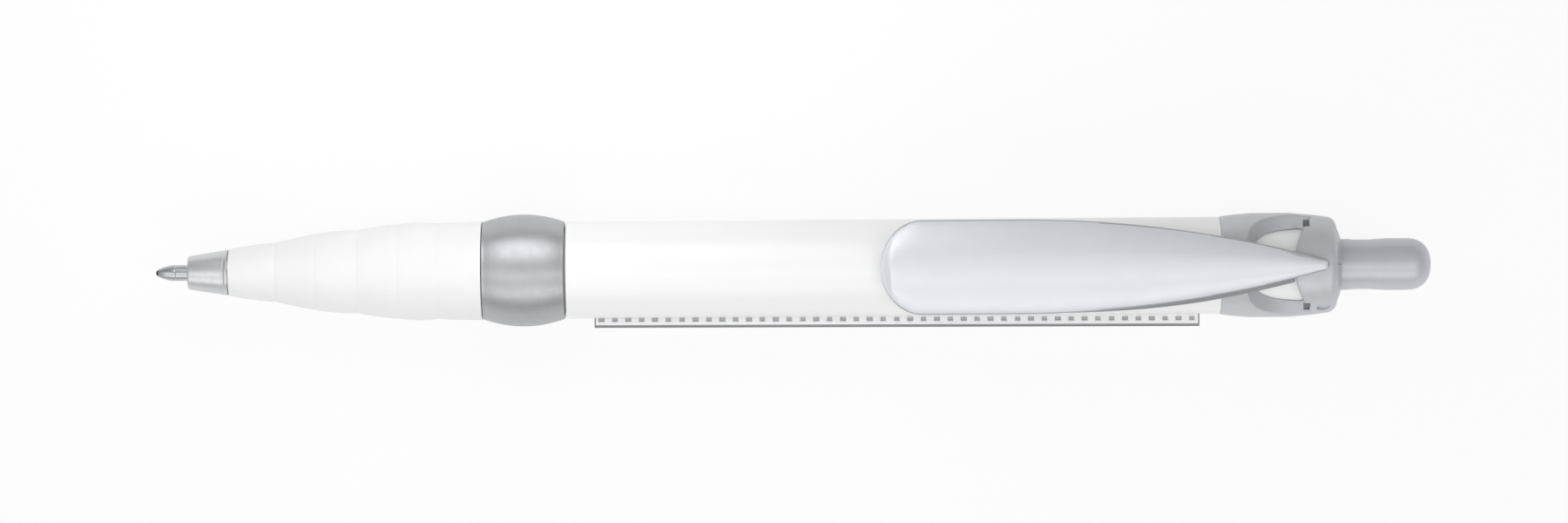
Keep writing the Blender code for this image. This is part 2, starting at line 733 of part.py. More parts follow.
def click_housing():
    sleeve_x = BARREL_END_X + JOINT_GAP
    room_r = GROOVE_R + FIT
    outline = [
        (HOUSING_END_X, SLEEVE_R),
        (sleeve_x, SLEEVE_R),
        (sleeve_x, HOUSING_R),
        (HOUSING_X, HOUSING_R),
        (HOUSING_X, CORE_EXTENSION_R + FIT),
        (HOUSING_ROOM_X, CORE_EXTENSION_R + FIT),
        (HOUSING_ROOM_X, room_r),
        (RIB_X, room_r),
        (RIB_X, RIB_R),
        (HOUSING_END_X, RIB_R),
    ]
    made = turned("click_housing", outline, "white_inner")
    start, end = RIB_X - RIB_GAP, HOUSING_END_X + OVERRUN
    half = GROOVE_WIDTH / 2
    limit = rod("groove_limit", start - OVERRUN, end + OVERRUN, GROOVE_R)
    for way, half_y, half_z in (("level", BARREL_R, half), ("upright", half, BARREL_R)):
        groove = block(f"{way}_groove", (start, -half_y, -half_z), (end, half_y, half_z))
        boolean(groove, "INTERSECT", limit)
        boolean(made, "DIFFERENCE", groove)


def cam():
    made = crowned("rotating_cam", CAM_X, CAM_END_X, CAM_R - CAM_WALL, CAM_R)
    add_fins(made, CAM_FIN_X, CAM_FIN_END_X)


def button():
    crown_x = PLUNGER_X + TOOTH_HEIGHT
    plunger = crowned("plunger", PLUNGER_END_X, crown_x, CAM_R - CAM_WALL, CAM_R)
    add_fins(plunger, PLUNGER_FIN_X, PLUNGER_FIN_END_X)
    pin_x = PLUNGER_FIN_X + JOINT_GAP
    pin_end_x = BUTTON_FOOT_X + PLUNGER_PIN_LENGTH
    web_end_x = PLUNGER_END_X - JOINT_GAP
    web = rod("plunger_web", pin_x, web_end_x, CAM_R - CAM_WALL / 2)
    pin = rod("plunger_pin", pin_x + JOINT_GAP, pin_end_x, PLUNGER_PIN_R, None, SMALL_SIDES)
    boolean(plunger, "UNION", web)
    boolean(plunger, "UNION", pin)

    side = [
        (between(BUTTON_X, END_X, place), between(BUTTON_NECK_R, BUTTON_HEAD_R, share))
        for place, share in BUTTON_SHARES
    ]
    dome_x = END_X - BUTTON_DOME_LENGTH
    side.append((dome_x, BUTTON_HEAD_R))
    dome = []
    for i in range(1, BUTTON_DOME_STEPS):
        angle = math.pi / 2 * i / BUTTON_DOME_STEPS
        along = math.sin(angle) ** BUTTON_DOME_POWER
        inward = math.cos(angle) ** BUTTON_DOME_POWER
        dome.append((between(dome_x, END_X, along), BUTTON_HEAD_R * inward))
    bore_r = PLUNGER_PIN_R + FIT
    bore_end_x = pin_end_x + JOINT_GAP
    outline = [
        (END_X, 0),
        *reversed(dome),
        *reversed(side),
        (BUTTON_X - PRESS_TRAVEL, side[0][1]),
        (BUTTON_FOOT_X, BUTTON_NECK_R),
        (BUTTON_FOOT_X, bore_r),
        (bore_end_x, bore_r),
        (bore_end_x, 0),
    ]
    turned("push_button", outline, "button_plastic")


def window_cutter():
    """The cap's window: a scoop that curves down to a level ledge, up to the collar's curved front."""
    start_x = CAP_X + WINDOW_INSET
    ledge_x = start_x + WINDOW_SCOOP_LENGTH
    top_z = CAP_R + OVERRUN
    profile = [(BUTTON_X, WINDOW_LEDGE_Z), (BUTTON_X, top_z), (start_x, top_z)]
    for i in range(WINDOW_SCOOP_STEPS + 1):
        angle = math.pi / 2 * i / WINDOW_SCOOP_STEPS
        x = ledge_x - WINDOW_SCOOP_LENGTH * math.cos(angle)
        profile.append((x, between(CAP_R, WINDOW_LEDGE_Z, math.sin(angle))))
    sections = [[(x, y, z) for x, z in profile] for y in (-top_z, top_z)]
    scoop = loft("window_cutter", sections)
    keeper_x = CAP_X + COLLAR_INSET + COLLAR_FRONT_R
    keeper = upright(
        "collar_keeper", keeper_x, COLLAR_FRONT_R, -OVERRUN, top_z + OVERRUN, OUTER_SIDES
    )
    boolean(scoop, "DIFFERENCE", keeper)
    return scoop


def cap_side():
    """The cap's outer side, front to rear."""
    points = []
    for place, share in CAP_SWELL_SHARES:
        points.append((between(CAP_X, BUTTON_X, place), between(CAP_FRONT_R, CAP_R, share)))
    for place, share in CAP_FALL_SHARES:
        points.append((between(CAP_X, BUTTON_X, place), between(CAP_R, CAP_SHOULDER_R, share)))
    corner_x = points[-1][0]
    length = (BUTTON_X - corner_x) * CAP_CORNER_SHARE
    for i in range(1, CAP_CORNER_STEPS + 1):
        angle = math.pi / 2 * i / CAP_CORNER_STEPS
        fall = CAP_CORNER * (1 - math.cos(angle))
        points.append((corner_x + length * math.sin(angle), CAP_SHOULDER_R - fall))
    points.append((BUTTON_X, CAP_END_R))
    return points


def cap_radius(x):
    """The cap's outer radius at a place."""
    side = cap_side()
    for (low_x, low_r), (high_x, high_r) in zip(side, side[1:]):
        if low_x <= x <= high_x:
            return between(low_r, high_r, (x - low_x) / (high_x - low_x))
    return CAP_R


def cap():
    outline = [
        *reversed(cap_side()),
        (CAP_X, CAP_REBATE_R),
        (CAP_STEP_X, CAP_REBATE_R),
        (CAP_STEP_X, CAP_BORE_R),
        (CAP_WALL_X, CAP_BORE_R),
        (CAP_WALL_X, BUTTON_HOLE_R),
        (BUTTON_X, BUTTON_HOLE_R),
    ]
    made = turned("rear_cap", outline, "silver_plastic", OUTER_SIDES)
    boolean(made, "DIFFERENCE", window_cutter())
    half = TAB_WIDTH / 2 + TAB_CLEARANCE
    pocket = block(
        "tab_pocket",
        (TAB_X - TAB_CLEARANCE, -half, tab_foot_z() - JOINT_GAP),
        (TAB_END_X + TAB_CLEARANCE, half, CAP_R + OVERRUN),
    )
    boolean(made, "DIFFERENCE", pocket)


def tab_foot_z():
    return cap_radius(TAB_END_X) - TAB_DEPTH


def clip_half_width(x):
    """Half the clip's width: a round free end, a straight middle, a parabolic taper, a round point.

    A taper that ends before the point is followed by a straight, narrow stretch.
    """
    width = CLIP_HALF_WIDTH
    if x < CLIP_NOSE_END_X:
        share = (CLIP_NOSE_END_X - x) / CLIP_NOSE_LENGTH
        return width * math.sqrt(1 - share**2)
    if x > CLIP_TAPER_X:
        share = min(1, (x - CLIP_TAPER_X) / CLIP_TAPER_LENGTH)
        width = between(width, CLIP_POINT_HALF_WIDTH, share**2)
    if x > CLIP_POINT_X:
        share = (x - CLIP_POINT_X) / CLIP_POINT_LENGTH
        width *= math.sqrt(1 - share**2)
    return width


def clip_places():
    """Where the clip's sections lie, free end to point."""
    places = []
    for angle in CLIP_NOSE_ANGLES:
        places.append(CLIP_X + CLIP_NOSE_LENGTH * (1 - math.cos(math.radians(angle))))
    for i in range(1, CLIP_MIDDLE_STEPS + 1):
        places.append(between(CLIP_NOSE_END_X, CLIP_TAPER_X, i / CLIP_MIDDLE_STEPS))
    for i in range(1, CLIP_TAPER_STEPS + 1):
        places.append(between(CLIP_TAPER_X, CLIP_POINT_X, i / CLIP_TAPER_STEPS))
    for angle in CLIP_POINT_ANGLES:
        places.append(CLIP_POINT_X + CLIP_POINT_LENGTH * math.sin(math.radians(angle)))
    return places


def clip_underside(x):
    """Height of the middle of the clip's underside: along the cap, then rising to the free end."""
    if x > CAP_X:
        fallen = x > CAP_X + CAP_FALL_SHARES[0][0] * (BUTTON_X - CAP_X)
        return (cap_radius(x) if fallen else CAP_R) + CLIP_GAP
    return CAP_R + CLIP_GAP + CLIP_RISE * math.sin(math.pi / 2 * (CAP_X - x) / CLIP_REACH)


def clip_section(x):
    """A squarish ring that sags from its middle to its edges, for a clip with a crowned top."""
    width = clip_half_width(x)
    fullness = width / CLIP_HALF_WIDTH
    fatness = min(1, fullness / CLIP_THINNING_SHARE)
    middle = between(CLIP_POINT_THICKNESS, CLIP_THICKNESS, fatness)
    edge = min(middle, CLIP_EDGE_THICKNESS)
    inset = min(x - CLIP_X, CLIP_END_X - x)
    if inset < CLIP_ROUNDING:
        rounding = math.sqrt(1 - (1 - inset / CLIP_ROUNDING) ** 2)
        middle, edge = middle * rounding, edge * rounding
    base = clip_underside(x)
    points = []
    for i in range(CLIP_SIDE_POINTS):
        angle = math.tau * (i + 0.5) / CLIP_SIDE_POINTS
        side, rise = (
            math.copysign(abs(part) ** CLIP_SQUARENESS, part)
            for part in (math.cos(angle), math.sin(angle))
        )
        thickness = between(middle, edge, side**2)
        centre = base + middle / 2 - CLIP_DROP * fullness * side**2
        points.append((x, width * side, centre + rise * thickness / 2))
    return points


def clip():
    """The clip, with its origin at its root, which it flexes about."""
    root = Vector((CLIP_END_X, 0, cap_radius(CLIP_END_X)))
    made = loft("clip", [clip_section(x) for x in clip_places()], "clip_plastic")
    pad = upright("clip_pad", PAD_X, PAD_R, BARREL_R + JOINT_GAP, BARREL_R + CLIP_THICKNESS)
    boolean(made, "UNION", pad)
    half = TAB_WIDTH / 2
    tab = block(
        "clip_tab",
        (TAB_X, -half, tab_foot_z()),
        (TAB_END_X, half, cap_radius(TAB_END_X) + CLIP_POINT_THICKNESS),
    )
    boolean(made, "UNION", tab)
    made.data.transform(Matrix.Translation(-root))
    made.location = root


clear_scene()
parts = collection("banner_pen")
cutters = collection("cutters")
pen = bpy.data.objects.new("pen_axis", None)
parts.objects.link(pen)
pen.location = (-END_X / 2, 0, RING_R)
refill()
nose()
lower_barrel()
grip()
ring()
barrel()
spool()
banner_end()
click_housing()
cam()
button()
cap()
clip()
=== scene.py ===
"""Looks of the banner pen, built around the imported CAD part.

Shapes are worked out in millimetres from the writing point, along the pen's axis, and then placed in
the row frame. The camera looks straight down on a pale floor, as in the photograph.
"""

import math

import bmesh
import bpy
from mathutils import Matrix, Vector


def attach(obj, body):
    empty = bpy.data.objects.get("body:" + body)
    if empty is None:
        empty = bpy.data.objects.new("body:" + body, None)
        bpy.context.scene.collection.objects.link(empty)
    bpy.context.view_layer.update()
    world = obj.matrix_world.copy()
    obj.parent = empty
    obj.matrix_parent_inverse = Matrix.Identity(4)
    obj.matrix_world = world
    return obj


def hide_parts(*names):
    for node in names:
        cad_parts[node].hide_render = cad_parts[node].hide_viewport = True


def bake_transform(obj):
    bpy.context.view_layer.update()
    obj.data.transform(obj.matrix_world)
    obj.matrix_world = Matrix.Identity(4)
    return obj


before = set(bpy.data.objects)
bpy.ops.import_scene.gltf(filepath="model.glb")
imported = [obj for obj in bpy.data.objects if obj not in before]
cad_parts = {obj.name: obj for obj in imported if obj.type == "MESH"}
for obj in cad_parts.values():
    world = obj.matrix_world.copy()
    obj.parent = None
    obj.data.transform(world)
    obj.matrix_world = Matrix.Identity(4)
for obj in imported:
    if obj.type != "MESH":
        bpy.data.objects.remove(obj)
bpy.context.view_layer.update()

MM = 0.001
HALF_LENGTH = 74.0  # half the pen, mm
AXIS_Z = 6.4983  # height of the pen's axis over the floor, mm
PLACE = Matrix.Translation((-HALF_LENGTH * MM, 0, AXIS_Z * MM)) @ Matrix.Scale(MM, 4)

# Places along the pen, mm from the writing point
NOSE_X = 3.74
GRIP_X = 8.4
RING_X = 38.0
BARREL_X = 47.6
ROLL_X = 50.9  # the roll, the banner and its bar have the same ends
ROLL_END_X = 121.1
CAP_X = 123.5
BARREL_END_X = 125.8  # end of the barrel's spigot, inside the cap
CAP_STEP_X = 125.9  # where the cap's bore narrows
CAP_WALL_X = 136.2  # front of the cap's end wall
BUTTON_X = 137.4
END_X = 148.0

# Radii, mm
BARREL_R = 5.6283
BARREL_BORE_R = 4.6383
SPIGOT_R = 5.1283
LOWER_BORE_R = 4.7883  # of the grip and the ring, which sit on the lower barrel
RING_END_R = 5.6983
CAP_FRONT_R = 5.6583
CAP_R = 6.0383
CAP_SHOULDER_R = 5.5783
CAP_BORE_R = 4.48
CAP_SPIGOT_BORE_R = 5.2283
SLEEVE_R = 4.38
ROLL_R = 3.6083

GAP = 0.1  # clearance between neighbours, mm
TINY = 1e-6


def between(low, high, share):
    return low + (high - low) * share


def smooth(share):
    share = min(1.0, max(0.0, share))
    return share * share * (3 - 2 * share)


def smooth_curve(marks, x):
    """Value at x of a smooth curve through (x, value) marks, without overshoot."""
    if x <= marks[0][0]:
        return marks[0][1]
    if x >= marks[-1][0]:
        return marks[-1][1]
    slopes = [(b[1] - a[1]) / (b[0] - a[0]) for a, b in zip(marks, marks[1:])]
    tangents = [slopes[0]]
    for one, two in zip(slopes, slopes[1:]):
        tangents.append(0 if one * two <= 0 else 2 * one * two / (one + two))
    tangents.append(slopes[-1])
    for i in range(len(marks) - 1):
        (x0, y0), (x1, y1) = marks[i], marks[i + 1]
        if x <= x1:
            h = x1 - x0
            t = (x - x0) / h
            return (
                y0 * (1 + 2 * t) * (1 - t) ** 2
                + tangents[i] * h * t * (1 - t) ** 2
                + y1 * t * t * (3 - 2 * t)
                + tangents[i + 1] * h * t * t * (t - 1)
            )


def add_mesh(name, points, faces, sharp=40):
    """A mesh piece from points in mm, placed in the row frame."""
    mesh = bpy.data.meshes.new(name)
    mesh.from_pydata(points, [], faces)
    mesh.transform(PLACE)
    shape = bmesh.new()
    shape.from_mesh(mesh)
    bmesh.ops.recalc_face_normals(shape, faces=shape.faces)
    shape.to_mesh(mesh)
    shape.free()
    mesh.shade_smooth()
    mesh.set_sharp_from_angle(angle=math.radians(sharp))
    made = bpy.data.objects.new(name, mesh)
    bpy.context.scene.collection.objects.link(made)
    return made


def rounded(start, corner, end, t):
    """Point at share t of a curve from start to end that rounds a corner."""
    return start * (1 - t) ** 2 + corner * 2 * t * (1 - t) + end * t * t


def filleted(outline, closed):
    """Replaces corners of an (x, r, fillet) outline by arcs. A point with two numbers stays sharp."""
    result = []
    count = len(outline)
    for i, point in enumerate(outline):
        corner = Vector(point[:2])
        fillet = point[2] if len(point) > 2 else 0
        ends = not closed and i in (0, count - 1)
        if fillet <= 0 or ends:
            result.append(tuple(corner))
            continue
        before = Vector(outline[i - 1][:2]) - corner
        after = Vector(outline[(i + 1) % count][:2]) - corner
        size = min(fillet, 0.45 * before.length, 0.45 * after.length)
        start = corner + before.normalized() * size
        end = corner + after.normalized() * size
        result += [tuple(rounded(start, corner, end, step / 5)) for step in range(6)]
    return result


def revolve(name, outline, sides=128, sharp=40):
    """An (x, r) outline turned about the pen's axis: a loop, or one that starts and ends on the axis."""
    closed = outline[0][1] > TINY
    outline = filleted(outline, closed)
    points, rings, faces = [], [], []
    for x, r in outline:
        if r < TINY:
            rings.append([len(points)])
            points.append((x, 0, 0))
            continue
        rings.append(list(range(len(points), len(points) + sides)))
        for i in range(sides):
            angle = math.tau * i / sides
            points.append((x, r * math.cos(angle), r * math.sin(angle)))
    pairs = list(zip(rings, rings[1:]))
    if closed:
        pairs.append((rings[-1], rings[0]))
    for one, two in pairs:
        for i in range(sides):
            j = (i + 1) % sides
            if len(one) == 1:
                faces.append((one[0], two[i], two[j]))
            elif len(two) == 1:
                faces.append((one[i], one[j], two[0]))
            else:
                faces.append((one[i], one[j], two[j], two[i]))
    return add_mesh(name, points, faces, sharp)


def loft(name, sections, closed=False, sharp=40):
    """A skin over rings of as many points each. Its ends are capped, or meet if it is closed."""
    size = len(sections[0])
    points = [point for section in sections for point in section]
    rings = [list(range(i * size, (i + 1) * size)) for i in range(len(sections))]
    faces = [] if closed else [tuple(rings[0]), tuple(rings[-1])]
    pairs = list(zip(rings, rings[1:]))
    if closed:
        pairs.append((rings[-1], rings[0]))
    for one, two in pairs:
        for i in range(size):
            j = (i + 1) % size
            faces.append((one[i], one[j], two[j], two[i]))
    return add_mesh(name, points, faces, sharp)


def box(name, low, high):
    corners = [(x, y, z) for x in (low[0], high[0]) for y in (low[1], high[1]) for z in (low[2], high[2])]
    faces = [(0, 1, 3, 2), (4, 6, 7, 5), (0, 4, 5, 1), (2, 3, 7, 6), (0, 2, 6, 4), (1, 5, 7, 3)]
    return add_mesh(name, corners, faces)


def combine(piece, operation, *others, sharp=40):
    """Joins or cuts a piece with other solids, and keeps only the result's mesh."""
    for other in others:
        change = piece.modifiers.new("combine", "BOOLEAN")
        change.operation = operation
        change.object = other
        change.solver = "MANIFOLD"
    apply_modifiers(piece, sharp)
    for other in others:
        bpy.data.objects.remove(other)
    return piece


def apply_modifiers(piece, sharp=40):
    bpy.context.view_layer.update()
    evaluated = piece.evaluated_get(bpy.context.evaluated_depsgraph_get())
    mesh = bpy.data.meshes.new_from_object(evaluated)
    piece.modifiers.clear()
    piece.data = mesh
    shape = bmesh.new()
    shape.from_mesh(mesh)
    bmesh.ops.remove_doubles(shape, verts=shape.verts, dist=2e-6)
    bmesh.ops.dissolve_degenerate(shape, edges=shape.edges, dist=1e-6)
    shape.to_mesh(mesh)
    shape.free()
    mesh.shade_smooth()
    mesh.set_sharp_from_angle(angle=math.radians(sharp))


def sweep(name, path, radius, sides=10):
    """A round wire along a path."""
    path = [Vector(point) for point in path]
    sections = []
    across = Vector((0, 0, 1))
    for i, point in enumerate(path):
        ahead = (path[min(i + 1, len(path) - 1)] - path[max(i - 1, 0)]).normalized()
        across = (across - ahead * across.dot(ahead)).normalized()
        up = ahead.cross(across)
        section = []
        for k in range(sides):
            angle = math.tau * k / sides
            section.append(tuple(point + (across * math.cos(angle) + up * math.sin(angle)) * radius))
        sections.append(section)
    return loft(name, sections, sharp=60)


def coil(name, start, end, radius, wire, curls):
    """A wire spring about the pen's axis, whose ends turn to run straight along the pen."""
    per_curl = 28
    route = [(start, 0.0), (start + wire * 0.6, 0.0)]
    curl_x, run, lead = start + 2 * wire, end - start - 4 * wire, wire / radius
    whole = math.tau * curls
    for i in range(per_curl * curls + 1):
        share = i / (per_curl * curls)
        route.append((curl_x + run * share, lead + whole * share))
    route += [(end - wire * 0.6, whole + 2 * lead), (end, whole + 2 * lead)]
    path = [(x, radius * math.cos(angle), radius * math.sin(angle)) for x, angle in route]
    return sweep(name, path, wire / 2)


# Materials

def node(tree, kind, **settings):
    made = tree.nodes.new(kind)
    for key, value in settings.items():
        if key in made.inputs:
            made.inputs[key].default_value = value
        else:
            setattr(made, key, value)
    return made


def ranged_noise(tree, place, scale, detail, half_range, low, high):
    """Noise whose values within half_range of its middle are brought to between low and high."""
    noise = node(tree, "ShaderNodeTexNoise", Scale=scale, Detail=detail)
    tree.links.new(place, noise.inputs["Vector"])
    spread = {"From Min": 0.5 - half_range, "From Max": 0.5 + half_range, "To Min": low, "To Max": high}
    brought = node(tree, "ShaderNodeMapRange", **spread)
    tree.links.new(noise.outputs["Fac"], brought.inputs["Value"])
    return brought.outputs["Result"]


def surface(
    name,
    colour,
    roughness,
    metallic=0.0,
    tint=0.02,
    tint_size=2.0,
    speck=0.0,
    speck_size=0.05,
    rough_vary=0.04,
    bump=0.002,
    bump_size=0.1,
    stretch=(1, 1, 1),
    fixed=(),
):
    """Moulded or machined surface: broad colour drift, fine specks, patchy gloss and a fine bump.

    Sizes are in mm, bump is its height in mm, and stretch squeezes the fine pattern along X, Y and Z.
    """
    made = bpy.data.materials.new(name)
    made.use_nodes = True
    tree = made.node_tree
    shader = tree.nodes["Principled BSDF"]
    shader.inputs["Metallic"].default_value = metallic
    for socket, value in fixed:
        shader.inputs[socket].default_value = value
    place = node(tree, "ShaderNodeTexCoord")
    in_mm = node(tree, "ShaderNodeMapping", Scale=(1 / MM, 1 / MM, 1 / MM))
    tree.links.new(place.outputs["Object"], in_mm.inputs["Vector"])
    fine = node(tree, "ShaderNodeMapping", Scale=stretch)
    tree.links.new(in_mm.outputs["Vector"], fine.inputs["Vector"])
    broad_place, fine_place = in_mm.outputs["Vector"], fine.outputs["Vector"]

    drift = ranged_noise(tree, broad_place, 1 / tint_size, 3.0, 0.25, 1 - tint, 1 + tint)
    glint = ranged_noise(tree, fine_place, 1 / speck_size, 2.0, 0.2, 1 - speck, 1 + speck)
    both = node(tree, "ShaderNodeMath", operation="MULTIPLY")
    tree.links.new(drift, both.inputs[0])
    tree.links.new(glint, both.inputs[1])
    painted = node(tree, "ShaderNodeVectorMath", operation="SCALE")
    painted.inputs[0].default_value = colour
    tree.links.new(both.outputs["Value"], painted.inputs["Scale"])
    tree.links.new(painted.outputs["Vector"], shader.inputs["Base Color"])

    smoothest, roughest = roughness - rough_vary, roughness + rough_vary
    gloss = ranged_noise(tree, broad_place, 2.3 / tint_size, 5.0, 0.2, smoothest, roughest)
    tree.links.new(gloss, shader.inputs["Roughness"])

    relief = node(tree, "ShaderNodeTexNoise", Scale=1 / bump_size, Detail=3.0)
    tree.links.new(fine_place, relief.inputs["Vector"])
    bumps = node(tree, "ShaderNodeBump", Strength=1.0, Distance=bump * MM)
    tree.links.new(relief.outputs["Fac"], bumps.inputs["Height"])
    tree.links.new(bumps.outputs["Normal"], shader.inputs["Normal"])
    return made


TURNED = (1.0, 0.02, 0.02)  # fine rings round the pen, as a lathe leaves them
ALONG_BAR = (0.1, 1, 1)
SATIN = {"bump": 0.0008, "bump_size": 0.06, "stretch": TURNED}
CRIMPED = {"speck": 0.1, "bump": 0.003, "bump_size": 0.05}
MOULDED = {"tint": 0.02, "speck_size": 0.045, "bump": 0.002, "bump_size": 0.07}
CLIP_GRAIN = {"speck_size": 0.045, "bump": 0.0015, "bump_size": 0.08}
CLIP_EDGE_GRAIN = {"speck": 0.04, **CLIP_GRAIN}
FINISH = {
    "ball": surface("ball", (0.1, 0.1, 0.11), 0.22, 1.0, bump=0.0005),
    "tip_metal": surface(
        "tip_metal", (0.5, 0.51, 0.52), 0.25, 1.0, speck=0.05, bump=0.0006, bump_size=0.05, stretch=TURNED
    ),
    "satin_metal": surface("satin_metal", (0.465, 0.475, 0.488), 0.4, 1.0, speck=0.03, **SATIN),
    "spring_steel": surface("spring_steel", (0.5, 0.5, 0.51), 0.3, 1.0, speck=0.05, speck_size=0.04),
    "rubber": surface(
        "rubber", (0.9, 0.9, 0.905), 0.62, tint=0.012, tint_size=3.0, speck=0.01,
        bump=0.006, bump_size=0.12, fixed=(("Specular IOR Level", 0.35),),
    ),
    "white_gloss": surface(
        "white_gloss", (0.93, 0.93, 0.935), 0.32, tint=0.006, tint_size=6.0, rough_vary=0.03,
        bump=0.0012, bump_size=0.5,
    ),
    "white_inner": surface("white_inner", (0.95, 0.955, 0.95), 0.34, tint=0.01, bump=0.002, bump_size=0.2),
    "silver_plastic": surface("silver_plastic", (0.57, 0.582, 0.6), 0.42, 0.36, speck=0.07, **MOULDED),
    "clip_plastic": surface(
        "clip_plastic", (0.775, 0.79, 0.817), 0.4, 0.34, tint=0.012, tint_size=5.0, speck=0.035,
        **CLIP_GRAIN,
    ),
    "button_plastic": surface("button_plastic", (0.565, 0.573, 0.6), 0.38, 0.34, speck=0.06, **MOULDED),
    "refill_plastic": surface("refill_plastic", (0.75, 0.78, 0.82), 0.25, bump=0.001),
    "banner_film": surface("banner_film", (0.92, 0.92, 0.92), 0.4, tint=0.01, bump=0.002, bump_size=0.3),
    "bar_metal": surface(
        "bar_metal", (0.94, 0.943, 0.947), 0.36, 0.2, speck=0.05, bump=0.0015, bump_size=0.05,
        stretch=ALONG_BAR,
    ),
    "cam_plastic": surface("cam_plastic", (0.8, 0.81, 0.78), 0.4, tint=0.015, bump=0.002),
}
EXTRA = {  # second looks on pieces that have a finish above
    # painted shade in the bar's dimples
    "bar_dimple_shade": surface("bar_dimple_shade", (0.46, 0.46, 0.47), 0.5, 0.6, **CRIMPED),
    # painted shade along the bar's folded outer edge and at its ends
    "bar_edge_shade": surface("bar_edge_shade", (0.29, 0.29, 0.3), 0.5, 0.8, stretch=ALONG_BAR, **CRIMPED),
    # painted light: a lighter copy of the satin metal, for the nose's broader highlight
    "nose_lit_metal": surface("nose_lit_metal", (0.66, 0.67, 0.68), 0.4, 1.0, speck=0.04, **SATIN),
    # painted shade on the +Y side of the clip's point
    "clip_bevel_shade": surface("clip_bevel_shade", (0.57, 0.58, 0.6), 0.45, 0.3, **CLIP_EDGE_GRAIN),
    # painted shade along the clip's outline and at its point's end
    "clip_edge_shade": surface("clip_edge_shade", (0.4, 0.41, 0.425), 0.5, 0.2, **CLIP_EDGE_GRAIN),
    # a painted shadow: the dark strip under the clip's -Y edge
    "clip_painted_shadow": surface("clip_painted_shadow", (0.33, 0.338, 0.35), 0.5, 0.2, **CLIP_EDGE_GRAIN),
}


def dress(piece, slot, body, *nodes, finish=None):
    """Gives a piece its finish, the body it moves with and the CAD nodes that it stands for."""
    finish = finish or FINISH[slot]
    if not piece.data.materials:
        piece.data.materials.append(finish)
    else:
        piece.data.materials[0] = finish
    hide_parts(*nodes)
    if body:
        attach(piece, body)
    return piece


# Writing point, nose and grip

BALL_R = 0.4
CONE_X, CONE_END_X = 0.3, 2.25
CONE_START_R, TIP_R, TIP_FOOT_R = 0.455, 0.92, 1.15
TIP_SHOULDER_X, TIP_END_X = 7.74, 19.04


def make_tip():
    ball = bpy.data.meshes.new("writing_ball")
    shape = bmesh.new()
    bmesh.ops.create_icosphere(shape, subdivisions=4, radius=BALL_R)
    bmesh.ops.translate(shape, vec=(BALL_R, 0, 0), verts=shape.verts)
    shape.to_mesh(ball)
    shape.free()
    ball.transform(PLACE)
    ball.shade_smooth()
    piece = bpy.data.objects.new("writing_ball", ball)
    bpy.context.scene.collection.objects.link(piece)
    dress(piece, "ball", "ball", "tip_ball")

    cone, steps, power = [], 14, 0.92
    for i in range(steps):
        share = i / steps
        swell = math.sin(math.pi / 2 * share) ** power
        cone.append((between(CONE_X, CONE_END_X, share), between(CONE_START_R, TIP_R, swell)))
    socket_x, socket_r = 0.85, 0.43
    groove_half, groove_depth = 0.07, 0.045
    outline = [
        (socket_x, 0),
        (socket_x, socket_r),
        (CONE_X, socket_r, 0.02),
        *cone,
        (CONE_END_X, TIP_R, 0.03),
        (CONE_END_X + groove_half, TIP_R - groove_depth, 0.03),
        (CONE_END_X + 2 * groove_half, TIP_R, 0.03),
        (TIP_SHOULDER_X, TIP_R, 0.05),
        (TIP_SHOULDER_X, TIP_FOOT_R, 0.08),
        (TIP_END_X, TIP_FOOT_R, 0.1),
        (TIP_END_X, 0),
    ]
    dress(revolve("writing_tip", outline, 96), "tip_metal", "refill", "refill_tip")


NOSE_SPIGOT_R = 2.2415


def make_nose():
    """The cone, a fine groove before the grip, and the spigot that goes into the lower barrel."""
    mouth_r, bore_r, bore_x, spigot_end_x = 1.02, 1.8415, 6.64, 18.1
    outline = [
        (NOSE_X, mouth_r, 0.05),
        (NOSE_X, 1.92, 0.26),
        (7.86, 2.575),
        (7.9, 2.55, 0.02),
        (7.97, 2.56, 0.02),
        (8.01, 2.6),
        (GRIP_X, 2.6615, 0.05),
        (GRIP_X, NOSE_SPIGOT_R),
        (spigot_end_x, NOSE_SPIGOT_R, 0.1),
        (spigot_end_x, bore_r),
        (bore_x, bore_r),
        (bore_x, mouth_r),
    ]
    piece = revolve("nose", outline, 128)
    # painted light: the nose takes a lighter copy of the satin metal, for its broader highlight
    dress(piece, "satin_metal", "barrel", "nose_cone", finish=EXTRA["nose_lit_metal"])


# Creases: share of the grip's length, and share of the way from its front radius to its rear one
GRIP_CREASES = ((0.185, 0.253), (0.343, 0.58), (0.51, 0.717), (0.67, 0.927), (0.826, 0.95))
GRIP_LOBES = (0.45, 0.05, 0.5, 0.45, 1.0, 0.25)  # how full the swell between two creases is
LOBE_RISE, CREASE_DEPTH, CREASE_REACH = 0.18, 0.07, 0.16
LOWER_TAPER = ((0.2, 2.7415), (0.48, 3.9095), (0.74, 4.6883))  # share of the length, radius
GRIP_FRONT_R = 2.7015


